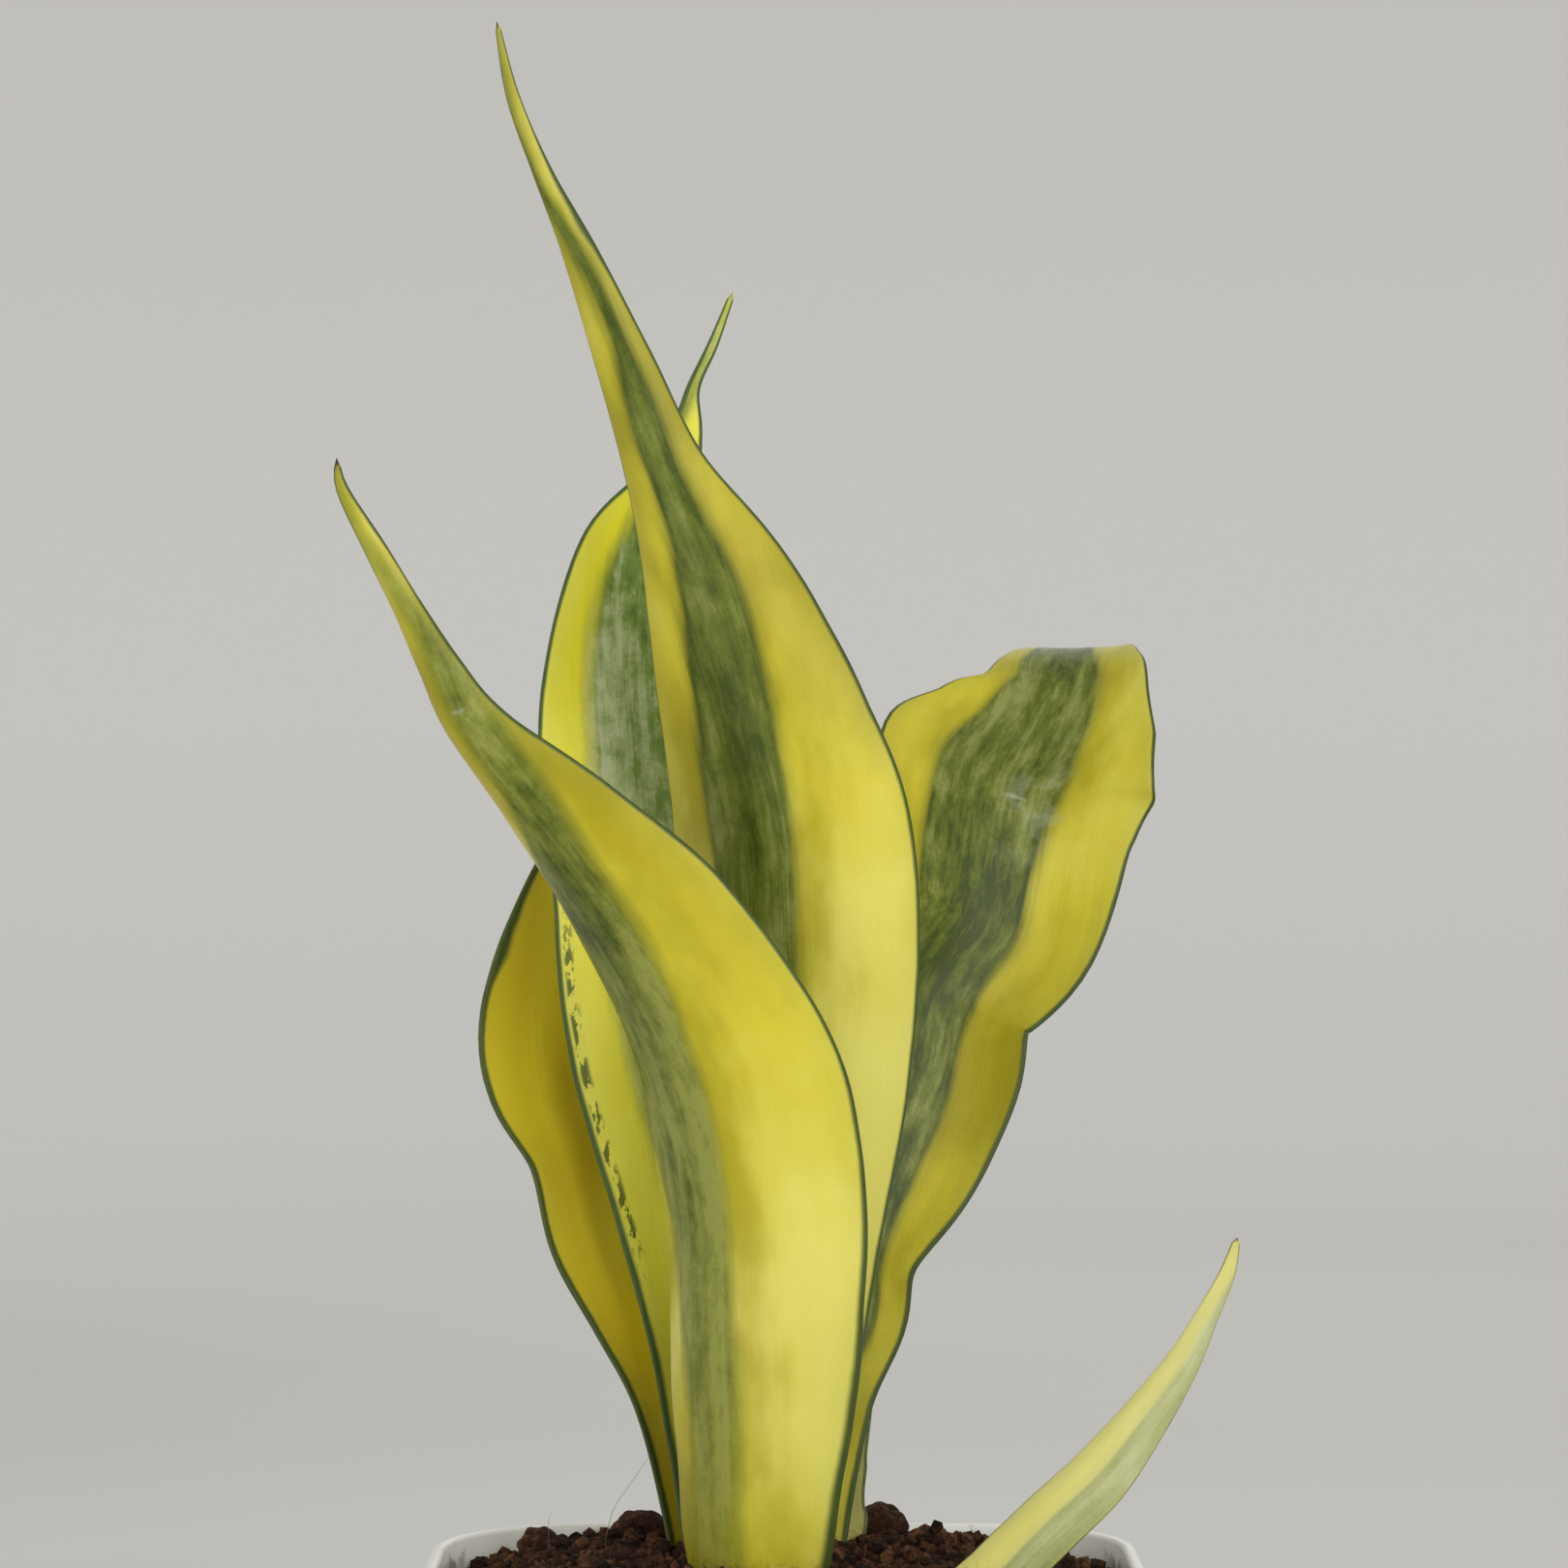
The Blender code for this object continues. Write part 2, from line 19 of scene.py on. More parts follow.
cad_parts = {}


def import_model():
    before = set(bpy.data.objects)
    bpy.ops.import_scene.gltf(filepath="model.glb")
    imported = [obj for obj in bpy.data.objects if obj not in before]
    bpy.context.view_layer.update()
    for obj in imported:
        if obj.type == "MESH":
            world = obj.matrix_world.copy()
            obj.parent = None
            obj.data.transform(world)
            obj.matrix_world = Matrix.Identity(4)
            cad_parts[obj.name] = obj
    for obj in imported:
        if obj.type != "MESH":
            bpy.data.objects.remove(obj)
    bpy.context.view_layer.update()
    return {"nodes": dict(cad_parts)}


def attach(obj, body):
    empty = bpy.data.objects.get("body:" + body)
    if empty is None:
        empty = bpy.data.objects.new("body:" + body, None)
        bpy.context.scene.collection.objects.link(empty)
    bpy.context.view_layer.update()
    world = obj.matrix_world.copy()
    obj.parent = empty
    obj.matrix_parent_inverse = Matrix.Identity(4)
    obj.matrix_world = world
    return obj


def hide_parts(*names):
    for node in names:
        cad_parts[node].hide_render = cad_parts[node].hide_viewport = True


LOG = logging.getLogger("snake_plant")
MM = 0.001
BODY = "root"

PLANT_ZERO = 126.0  # height of the plant's own zero above the ground

Row = tuple[float, ...]
Colour = tuple[float, float, float, float]
Outline = Callable[[float], Vector]  # from a share of the way round to a point


# ---------------------------------------------------------------- small maths


def smooth_step(value: float) -> float:
    """Eased 0 to 1 ramp."""
    value = max(0.0, min(1.0, value))
    return value * value * (3 - 2 * value)


def paint(red: int, green: int, blue: int) -> Colour:
    """Turns a colour's usual 0 to 255 values into the linear numbers that shaders take.

    Args:
        red: Red, 0 to 255.
        green: Green, 0 to 255.
        blue: Blue, 0 to 255.

    Returns:
        Linear red, green and blue from 0 to 1, and full cover.
    """
    channels = (red / 255, green / 255, blue / 255)
    linear = [c / 12.92 if c <= 0.04045 else ((c + 0.055) / 1.055) ** 2.4 for c in channels]
    return (linear[0], linear[1], linear[2], 1.0)


def blend_rows(rows: Sequence[Row], position: float) -> list[float]:
    """Reads a table of rows at a place between them, on a smooth curve.

    Args:
        rows: Rows of numbers, all of one length.
        position: Row number, with a fraction for a place between two rows.

    Returns:
        The blended numbers.
    """
    index = min(int(position), len(rows) - 2)
    part = position - index
    second, third = rows[index], rows[index + 1]
    first = rows[index - 1] if index else [2 * a - b for a, b in zip(second, third)]
    last = rows[index + 2] if index + 2 < len(rows) else [2 * b - a for a, b in zip(second, third)]
    blended = []
    for a, b, c, d in zip(first, second, third, last):
        curve = 2 * b + (c - a) * part + (2 * a - 5 * b + 4 * c - d) * part**2
        blended.append(0.5 * (curve + (3 * b - a - 3 * c + d) * part**3))
    return blended


def read_table(rows: Sequence[Row], key: float) -> list[float]:
    """Reads a table whose first column is a rising key, easing from row to row.

    Args:
        rows: Rows that start with their key.
        key: Where to read.

    Returns:
        The row's other numbers at that key.
    """
    if key <= rows[0][0]:
        return list(rows[0][1:])
    for low, high in zip(rows, rows[1:]):
        if key <= high[0]:
            share = (key - low[0]) / (high[0] - low[0])
            return [a + (b - a) * share for a, b in zip(low[1:], high[1:])]
    return list(rows[-1][1:])


def lumps(point: Vector, size: float, seed: float) -> float:
    """Rounded lumps of about one size, 0 in the cracks between them and 1 on top."""
    distances, _ = noise.voronoi(point / size + Vector((seed, seed * 1.7, seed * 0.6)))
    return 1 - min(1.0, distances[0]) ** 2


# ---------------------------------------------------------------- shader board


def operator(operation: str, swapped: bool = False) -> Callable[["Signal", "Value"], "Signal"]:
    """Makes the method behind one of a signal's operators.

    Args:
        operation: What its Math node does.
        swapped: Whether the two values change places, as a reflected operator needs.

    Returns:
        The method.
    """

    def method(self: "Signal", other: "Value") -> "Signal":
        """The node's result."""
        return self.board.math(operation, *((other, self) if swapped else (self, other)))

    return method


class Signal:
    """One shader value, so that sums on it read as plain expressions."""

    def __init__(self, board: "Board", socket: bpy.types.NodeSocket) -> None:
        """Keeps the board it lives on and its output socket."""
        self.board = board
        self.socket = socket

    __add__ = __radd__ = operator("ADD")
    __sub__ = operator("SUBTRACT")
    __rsub__ = operator("SUBTRACT", swapped=True)
    __mul__ = __rmul__ = operator("MULTIPLY")
    __truediv__ = operator("DIVIDE")
    __pow__ = operator("POWER")

    def __abs__(self) -> "Signal":
        """Size without its sign."""
        return self.board.math("ABSOLUTE", self)


Value = Signal | float


class Board:
    """The node board of one material, ending in a Principled shader."""

    def __init__(self, name: str) -> None:
        """Starts a material with its Principled shader and nothing else.

        Args:
            name: The material's name.
        """
        self.material = bpy.data.materials.new(name)
        self.material.use_nodes = True
        self.tree = self.material.node_tree
        self.shader = self.tree.nodes["Principled BSDF"]

    def node(self, kind: str, settings: dict | None = None, inputs: dict | None = None) -> bpy.types.Node:
        """Adds one node.

        Args:
            kind: The node's type.
            settings: Its own settings, set first; "stops" gives a ramp's stops.
            inputs: Values or signals for its sockets, by name or number.

        Returns:
            The node.
        """
        made = self.tree.nodes.new(kind)
        for key, value in (settings or {}).items():
            if key == "stops":
                ramp = made.color_ramp
                while len(ramp.elements) < len(value):
                    ramp.elements.new(0.5)
                for element, (place, colour) in zip(ramp.elements, value):
                    element.position, element.color = place, colour
            else:
                setattr(made, key, value)
        for key, value in (inputs or {}).items():
            self.feed(made.inputs[key], value)
        return made

    def feed(self, socket: bpy.types.NodeSocket, value: object) -> None:
        """Links a signal to a socket, or sets the socket's own value.

        Args:
            socket: The socket.
            value: A signal, or a plain value.
        """
        if isinstance(value, Signal):
            self.tree.links.new(value.socket, socket)
        else:
            socket.default_value = value

    def math(self, operation: str, *values: Value) -> Signal:
        """One Math node on up to three values."""
        made = self.node("ShaderNodeMath", {"operation": operation}, dict(enumerate(values)))
        return Signal(self, made.outputs[0])

    def attribute(self, name: str, vector: bool = False) -> Signal:
        """A number, or a vector, that the mesh carries on its points."""
        made = self.node("ShaderNodeAttribute", {"attribute_name": name})
        return Signal(self, made.outputs["Vector" if vector else "Fac"])

    def place(self) -> Signal:
        """The point's own place, in metres."""
        return Signal(self, self.node("ShaderNodeTexCoord").outputs["Object"])

    def height(self) -> Signal:
        """The point's own height in millimetres."""
        split = self.node("ShaderNodeSeparateXYZ", None, {0: self.place()})
        return Signal(self, split.outputs[2]) * (1 / MM)

    def clouds(self, vector: Signal, scale: float | Row, detail: float = 3.0, rough: float = 0.5) -> Signal:
        """Soft noise.

        Args:
            vector: Where to read it.
            scale: How fine it is, or a row with how fine it is along each axis.
            detail: How many finer layers it has.
            rough: How strong those are.

        Returns:
            The noise, from 0 to 1.
        """
        if isinstance(scale, tuple):
            vector = Signal(self, self.node("ShaderNodeMapping", None, {"Vector": vector, "Scale": scale}).outputs[0])
            scale = 1.0
        inputs = {"Vector": vector, "Scale": scale, "Detail": detail, "Roughness": rough}
        return Signal(self, self.node("ShaderNodeTexNoise", None, inputs).outputs[0])

    def cells(self, vector: Signal, scale: float) -> Signal:
        """Distance to the nearest of a field of scattered points."""
        made = self.node("ShaderNodeTexVoronoi", None, {"Vector": vector, "Scale": scale})
        return Signal(self, made.outputs["Distance"])

    def step(self, value: Value, low: Value, high: Value, start: float = 0.0, end: float = 1.0) -> Signal:
        """Eased ramp.

        Args:
            value: What is read.
            low: Where the ramp starts.
            high: Where it ends.
            start: What it gives up to its start.
            end: What it gives past its end.

        Returns:
            The ramp's value.
        """
        inputs = {"Value": value, "From Min": low, "From Max": high, "To Min": start, "To Max": end}
        made = self.node("ShaderNodeMapRange", {"interpolation_type": "SMOOTHSTEP"}, inputs)
        return Signal(self, made.outputs[0])

    def ramp(self, value: Value, stops: Sequence[tuple[float, Colour]]) -> Signal:
        """Colour ramp."""
        made = self.node("ShaderNodeValToRGB", {"stops": stops}, {0: value})
        return Signal(self, made.outputs[0])

    def mix(self, share: Value, first: Signal | Colour, second: Signal | Colour) -> Signal:
        """Mixes two colours."""
        made = self.node("ShaderNodeMix", {"data_type": "RGBA"}, {0: share, 6: first, 7: second})
        return Signal(self, made.outputs[2])

    def bump(self, height: Signal, depth: float, under: Signal | None = None) -> Signal:
        """Bumps for a Normal socket.

        Args:
            height: The bumps' height, 0 to 1.
            depth: What a height of 1 measures, in metres.
            under: Another bump that this one lies on.

        Returns:
            The bent normal.
        """
        inputs = {"Height": height, "Distance": depth, "Strength": 1.0}
        if under is not None:
            inputs["Normal"] = under
        return Signal(self, self.node("ShaderNodeBump", None, inputs).outputs[0])

    def finish(self, **sockets: object) -> bpy.types.Material:
        """Feeds the Principled shader.

        Args:
            sockets: Values or signals by socket name, with underscores for spaces.

        Returns:
            The finished material.
        """
        for key, value in sockets.items():
            self.feed(self.shader.inputs[key.replace("_", " ")], value)
        return self.material


# ---------------------------------------------------------------- finishes


@dataclass(frozen=True)
class LeafFinish:
    """Waxy variegated leaf: green middle stripe, yellow margins, thin dark edge."""

    name: str
    deep: Colour = paint(64, 78, 20)
    green: Colour = paint(104, 114, 40)
    misty: Colour = paint(146, 152, 84)
    cream: Colour = paint(222, 215, 104)
    yellow: Colour = paint(208, 197, 56)
    gold: Colour = paint(160, 148, 12)
    edge: Colour = paint(42, 66, 38)
    dry: Colour = paint(70, 52, 38)
    speckle: Colour = paint(66, 90, 26)  # the row of dots
    scuff: Colour = paint(214, 216, 200)
    shadow: Colour = paint(110, 88, 4)  # painted shade: brownish shadow where a margin lies beside the edge of the leaf in front
    soiled: Colour = paint(74, 48, 28)
    dull: Colour = paint(120, 128, 84)  # bloom on the rear face
    soil_line: tuple[float, float] = (130.0, 137.0)  # heights between which soil stains the foot
    back_share: float = 0.35  # how much duller the rear face is
    softness: float = 1.1  # half width of the stripe's border, mm
    wander: float = 1.9  # how far that border wanders, mm
    banding: float = 0.35  # cross bands in the stripe
    trough_shading: float = 0.62  # painted shade: how far the margin darkens to gold next to the stripe
    dappling: float = 1.7  # how strongly the stripe is dappled

    def material(self) -> bpy.types.Material:
        """Builds the leaf's material from the marks that its mesh carries.

        Returns:
            The material.
        """
        board = Board(self.name)
        across, half = board.attribute("across"), board.attribute("half")
        skin = board.attribute("skin", vector=True)
        # noise on the leaf's surface, with how fine it is across and along the leaf
        streak = board.clouds(skin, (400, 14, 1), 3.0, 0.55)
        hair = board.clouds(skin, (2300, 42, 1), 3.0, 0.6)
        cloud = board.clouds(skin, (70, 30, 1), 3.0, 0.55)
        bands = board.clouds(skin, (210, 190, 1), 4.0, 0.62)
        dapple = board.clouds(skin, (330, 80, 1), 4.0, 0.66)
        speck = board.clouds(skin, (900, 900, 1), 2.0, 0.6)

        stripe, inner = self._stripe(board, across, half, streak, hair, cloud)
        stripe = stripe * (1 - board.attribute("fade") * 0.55)
        tone = board.attribute("pale") + (streak - 0.5) * 0.7 + (hair - 0.5) * 0.35 + (speck - 0.5) * 0.25
        tone = tone + (dapple - 0.5) * self.dappling + board.step(inner, 0.2, 2.4, -0.22, 0.0)
        tone = tone + (bands - 0.5) * self.banding * 2 + (cloud - 0.5) * 0.8 + board.step(inner, 9.0, 3.0) * 0.24
        middle = board.ramp(tone, ((0.12, self.deep), (0.5, self.green), (0.92, self.misty)))

        # the margin's own gold, with the gold mark also painting shade where a margin is darkened and light where it
        # is made paler
        warmth_and_shade = board.attribute("gold") + (cloud - 0.5) * 0.7 + (bands - 0.5) * 0.12 + (streak - 0.5) * 0.16
        margin = board.ramp(warmth_and_shade, ((0.08, self.cream), (0.45, self.yellow), (0.95, self.gold)))
        # painted shade: the margin darkens to gold towards the stripe, in the leaf's trough
        trough_shade = board.step(inner + (cloud - 0.5) * 16, -12.0, -1.0) * board.step(cloud, 0.3, 0.66) * self.trough_shading
        margin = board.mix(trough_shade, margin, self.gold)
        near = board.step(inner, -2.6, 0.0) * (1 - stripe) * (0.1 + dapple * 0.4)
        margin = board.mix(near, margin, self.green)
        rim = (1 - abs(across)) * half
        margin = board.mix(board.step(rim, 5.5, 0.5) * (0.04 + cloud * 0.22), margin, self.misty)
        colour = board.mix(stripe, margin, middle)

        line = board.attribute("line") * (0.72 + board.clouds(skin, (1, 95, 1)) * 0.56)
        edge = board.step(rim, line * 0.5, line * 1.25 + 0.12, 1.0, 0.0)
        colour = board.mix(edge, colour, board.mix(hair * 0.55, self.edge, self.green))

        dots = self._dots(board, across, half, skin)
        colour = board.mix(dots * 0.9, colour, self.speckle)
        scar = self._scar(board, skin)
        colour = board.mix(scar * 0.6, colour, self.scuff)
        # painted shade: brownish shadow wherever the mesh carries a shade mark
        colour = board.mix(board.attribute("shade") * (0.25 + cloud * 0.4), colour, self.shadow)
        dry = board.attribute("dry")
        colour = board.mix(board.step(dry + (speck - 0.5) * 0.5, 0.25, 0.75), colour, self.dry)
        dusty = board.step(board.height() + (speck - 0.5) * 16, *self.soil_line, 0.5, 0.0)
        colour = board.mix(dusty, colour, self.soiled)
        rear = board.step(board.attribute("face"), 0.15, -0.25) * self.back_share
        colour = board.mix(rear, colour, board.mix(0.5, colour, self.dull))

        ridges = streak * 0.5 + hair * 0.35 + bands * 0.3 + scar * 0.4
        normal = board.bump(speck, 0.00003, board.bump(ridges, 0.00016))
        gloss = 0.42 + (cloud - 0.5) * 0.16 + (speck - 0.5) * 0.1 + dry * 0.4 + scar * 0.2 + dusty * 0.4
        return board.finish(
            Base_Color=colour, Roughness=gloss, Normal=normal, Coat_Weight=0.05, Coat_Roughness=0.3,
            Subsurface_Weight=0.06, Subsurface_Radius=(0.004, 0.004, 0.001), Specular_IOR_Level=0.18,
        )

    def _stripe(
        self, board: Board, across: Signal, half: Signal, streak: Signal, hair: Signal, cloud: Signal
    ) -> tuple[Signal, Signal]:
        """Where the green stripe lies.

        Args:
            board: The material's board.
            across: Place across the leaf, -1 to 1.
            half: Half the leaf's width in millimetres.
            streak: Streaks along the leaf.
            hair: Finer streaks along the leaf.
            cloud: Slow patches.

        Returns:
            Its mask, and the depth inside its nearer border in millimetres.
        """
        wander = (streak - 0.5) * self.wander * 1.4 + (hair - 0.5) * 0.7 + (cloud - 0.5) * self.wander
        from_left = (across - board.attribute("left")) * half + wander
        from_right = (board.attribute("right") - across) * half + wander
        soft = board.attribute("fade") * 2.4 + self.softness
        mask = board.step(from_left, soft * -1, soft) * board.step(from_right, soft * -1, soft)
        return mask, board.math("MINIMUM", from_left, from_right)

    @staticmethod
    def _dots(board: Board, across: Signal, half: Signal, skin: Signal) -> Signal:
        """A broken row of small green patches just inside the left edge.

        Args:
            board: The material's board.
            across: Place across the leaf, -1 to 1.
            half: Half the leaf's width in millimetres.
            skin: Place on the leaf's surface.

        Returns:
            The patches' mask.
        """
        inset = (across + 1) * half
        row = board.step(inset, 0.9, 1.5) * board.step(inset, 3.3, 2.3)
        ragged = board.clouds(skin, (620, 230, 1), 4.0, 0.68)
        return board.step(ragged, 0.485, 0.55) * row * board.step(board.attribute("dots"), 0.0, 0.3)

    @staticmethod
    def _scar(board: Board, skin: Signal) -> Signal:
        """Fine whitish scuffs that cross the leaf where it was rubbed.

        Args:
            board: The material's board.
            skin: Place on the leaf's surface.

        Returns:
            The scuffs' mask.
        """
        lines = board.clouds(skin, (40, 300, 1), 2.0, 0.5)
        broken = board.clouds(skin, (190, 150, 1), 3.0, 0.6)
        haze = board.step(broken, 0.44, 0.7) * 0.4
        return (board.step(lines, 0.64, 0.7) * board.step(broken, 0.45, 0.6) * 0.7 + haze) * board.attribute("scar")


@dataclass(frozen=True)
class SoilFinish:
    """Dark crumbly potting soil; its tone is darker in the bed's hollows and the lumps' cracks, which is painted
    shade.
    """

    name: str
    dark_and_shade: Colour = paint(26, 14, 8)
    brown: Colour = paint(66, 38, 23)
    dry: Colour = paint(132, 88, 58)
    fleck: Colour = paint(150, 108, 74)

    def material(self) -> bpy.types.Material:
        """Builds the soil's material; a crumb's own tone comes from its mesh.

        Returns:
            The material.
        """
        board = Board(self.name)
        place = board.place()
        grain = board.clouds(place, 900.0, 5.0, 0.72)
        patch = board.clouds(place, 110.0, 3.0, 0.6)
        bits = board.cells(place, 620.0)
        tone = board.attribute("tone") + (grain - 0.5) * 1.7 + (patch - 0.5) * 0.9
        colour = board.ramp(tone, ((0.1, self.dark_and_shade), (0.5, self.brown), (1.0, self.dry)))
        flecks = board.step(bits, 0.16, 0.08) * board.step(patch, 0.5, 0.62)
        colour = board.mix(flecks * 0.55, colour, self.fleck)
        normal = board.bump(grain + bits * 0.4, 0.0014)
        rough = 0.96 - board.step(patch, 0.55, 0.75) * 0.18
        return board.finish(Base_Color=colour, Roughness=rough, Normal=normal, Specular_IOR_Level=0.25)


@dataclass(frozen=True)
class PotFinish:
    """Satin white plastic with faint moulding waves, scuffs, and soil dust inside its rim."""

    name: str
    white: Colour = paint(247, 247, 244)
    warm: Colour = paint(238, 238, 231)
    scuffed: Colour = paint(196, 194, 186)
    dust: Colour = paint(120, 96, 74)

    def material(self) -> bpy.types.Material:
        """Builds the pot's material.

        Returns:
            The material.
        """
        board = Board(self.name)
        place, height = board.place(), board.height()
        slow = board.clouds(place, 22.0, 3.0, 0.5)
        fine = board.clouds(place, 1400.0, 2.0, 0.6)
        scuffs = board.clouds(place, (420, 420, 38), 5.0, 0.72)
        scuff = board.step(scuffs, 0.6, 0.7) * board.step(slow, 0.45, 0.6)
        colour = board.mix(slow, self.white, self.warm)
        colour = board.mix(scuff * 0.25, colour, self.scuffed)
        smudge = board.clouds(place, 240.0, 5.0, 0.7)
        inside = board.attribute("inside")
        soiled = board.step(smudge + board.step(height, 129.6, 123.5) * 0.32, 0.55, 0.78) * inside
        colour = board.mix(soiled * 0.75, colour, self.dust)
        foot = board.step(height, 7.0, 0.5) * board.step(smudge, 0.4, 0.7) * (1 - inside)
        colour = board.mix(foot * 0.3, colour, self.dust)
        rough = 0.3 + (slow - 0.5) * 0.12 + scuff * 0.22 + soiled * 0.4 + foot * 0.2
        normal = board.bump(fine, 0.000012, board.bump(slow, 0.0005))
        return board.finish(
            Base_Color=colour, Roughness=rough, Normal=normal, Coat_Weight=0.25, Coat_Roughness=0.18,
        )


@dataclass(frozen=True)
class RootFinish:
    """Fibrous tan stem and roots under the soil."""

    name: str
    light: Colour = paint(186, 148, 96)
    dark: Colour = paint(112, 76, 42)

    def material(self) -> bpy.types.Material:
        """Builds the root's material.

        Returns:
            The material.
        """
        board = Board(self.name)
        place = board.place()
        rings = board.clouds(place, (90, 90, 700), 4.0, 0.6)
        fibre = board.clouds(place, (900, 900, 120), 3.0, 0.6)
        colour = board.ramp(rings * 0.6 + fibre * 0.4, ((0.3, self.dark), (0.7, self.light)))
        normal = board.bump(rings + fibre * 0.5, 0.0004)
        return board.finish(Base_Color=colour, Roughness=0.7 + (fibre - 0.5) * 0.3, Normal=normal)


@dataclass(frozen=True)
class FibreFinish:
    """A dry peat fibre."""

    name: str
    light: Colour = paint(150, 138, 118)
    dark: Colour = paint(96, 80, 60)

    def material(self) -> bpy.types.Material:
        """Builds the fibre's material.

        Returns:
            The material.
        """
        board = Board(self.name)
        patch = board.clouds(board.place(), 700.0, 3.0, 0.6)
        colour = board.ramp(patch, ((0.3, self.dark), (0.7, self.light)))
        return board.finish(Base_Color=colour, Roughness=0.6 + patch * 0.3, Normal=board.bump(patch, 0.00005))


@dataclass(frozen=True)
class BackdropFinish:
    """Matt pale grey studio paper that also glows: painted light, set along the paper's run."""

    name: str
    floor: Colour = paint(196, 194, 189)
    wall: Colour = paint(184, 182, 178)
    length: float = 4.5  # from the middle of the floor to the top of the wall
    glow_tint: Row = (1.0, 0.99, 0.965)
    glow: tuple[Row, ...] = (  # distance along the paper, and how much it glows there
        (0.3, 0.06), (0.6, 0.13), (0.9, 0.152), (1.2, 0.126), (1.45, 0.128), (1.65, 0.147), (1.85, 0.177),
        (2.15, 0.215), (2.4, 0.238), (2.8, 0.254), (3.3, 0.266), (3.6, 0.261), (3.9, 0.243), (4.3, 0.23),
    )

    def material(self) -> bpy.types.Material:
        """Builds the paper's material.

        Returns:
            The material.
        """
        board = Board(self.name)
        slow = board.clouds(board.place(), 1.3, 2.0, 0.5)
        tooth = board.clouds(board.place(), 900.0, 2.0, 0.5)
        split = board.node("ShaderNodeSeparateXYZ", None, {0: board.place()})
        x, y, z = (Signal(board, split.outputs[k]) for k in range(3))
        run = (x * x + y * y) ** 0.5 + z
        colour = board.mix(board.step(run, 1.5, 3.0), self.floor, self.wall)
        tints = [tuple(level * tint for tint in self.glow_tint) for _, level in self.glow]
        stops = [(row[0] / self.length, (*tint, 1.0)) for row, tint in zip(self.glow, tints)]
        # painted light: the paper's emission, from the glow table
        return board.finish(
            Base_Color=colour, Roughness=0.9, Normal=board.bump(tooth, 0.00004), Specular_IOR_Level=0.1,
            Emission_Color=board.ramp(run / self.length + (slow - 0.5) * 0.02, stops), Emission_Strength=1.0,
        )


Finish = LeafFinish | SoilFinish | PotFinish | RootFinish | FibreFinish | BackdropFinish


# ---------------------------------------------------------------- mesh helpers


def make_object(
    name: str, bm: bmesh.types.BMesh, finish: Finish, smooth: bool = True, inwards: bool = False
) -> bpy.types.Object:
    """Turns a finished bmesh into an object.

    Args:
        name: The object's name.
        bm: Its mesh, in place and in metres; it is freed here.
        finish: The finish whose material it wears.
        smooth: Whether its faces are shaded smooth.
        inwards: Whether its faces point inwards, as a room's do.

    Returns:
        The new object.
    """
    mesh = bpy.data.meshes.new(name)
    bmesh.ops.recalc_face_normals(bm, faces=bm.faces)
    if inwards:
        bmesh.ops.reverse_faces(bm, faces=bm.faces)
    bm.to_mesh(mesh)
    bm.free()
    if smooth:
        mesh.shade_smooth()
    mesh.materials.append(finish.material())
    made = bpy.data.objects.new(name, mesh)
    bpy.context.scene.collection.objects.link(made)
    return made


def make_piece(
    name: str, bm: bmesh.types.BMesh, finish: Finish, node: str = "", smooth: bool = True
) -> bpy.types.Object:
    """Turns a finished bmesh into a piece that rides on the plant's one body.

    Args:
        name: The piece's name.
        bm: Its mesh, in place and in metres; it is freed here.
        finish: The finish whose material it wears.
        node: The frame's node that it stands in for, if any.
        smooth: Whether its faces are shaded smooth.

    Returns:
        The new object.
    """
    piece = make_object(name, bm, finish, smooth)
    if node:
        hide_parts(node)
    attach(piece, BODY)
    return piece


def extrude_rim(bm: bmesh.types.BMesh, edges: list) -> tuple[list, list]:
    """Extrudes an open rim of edges.

    Args:
        bm: The mesh that holds it.
        edges: The rim's edges.

    Returns:
        The new rim's edges and its points, still in the old rim's place.
    """
    made = bmesh.ops.extrude_edge_only(bm, edges=edges)["geom"]
    rim = [item for item in made if isinstance(item, bmesh.types.BMEdge) and item.is_boundary]
    return rim, [item for item in made if isinstance(item, bmesh.types.BMVert)]


def sweep(bm: bmesh.types.BMesh, edges: list, rings: Iterable[Outline], key: bmesh.types.BMLayerItem) -> list:
    """Extrudes an open ring of edges through a row of outlines.

    Args:
        bm: The mesh that holds the ring.
        edges: The ring's edges.
        rings: For each new ring, a function from a share of the way round to its point.
        key: The vertex layer that holds that share.

    Returns:
        The last ring's edges.
    """
    for ring in rings:
        edges, verts = extrude_rim(bm, edges)
        for vert in verts:
            vert.co = ring(vert[key])
    return edges


def start_ring(bm: bmesh.types.BMesh, segments: int, ring: Outline, key: bmesh.types.BMLayerItem) -> list:
    """Makes a closed ring of edges on an outline and notes each point's share of the way round.

    Args:
        bm: The mesh to add it to.
        segments: How many edges it has.
        ring: Function from a share of the way round to its point.
        key: The vertex layer that takes that share.

    Returns:
        The ring's edges.
    """
    made = bmesh.ops.create_circle(bm, cap_ends=False, segments=segments, radius=1.0)["verts"]
    edges = list({edge for vert in made for edge in vert.link_edges})
    for vert in made:
        share = math.atan2(vert.co.y, vert.co.x) / (2 * math.pi) % 1.0
        vert[key] = share
        vert.co = ring(share)
    return edges


# ---------------------------------------------------------------- leaves


class Look(Enum):
    """What kind of leaf a blade is."""

    YELLOW = "leaf_yellow"
    GOLD_LIT = "leaf_gold"
    YOUNG = "leaf_young"
    SHEATH = "sheath_pale"


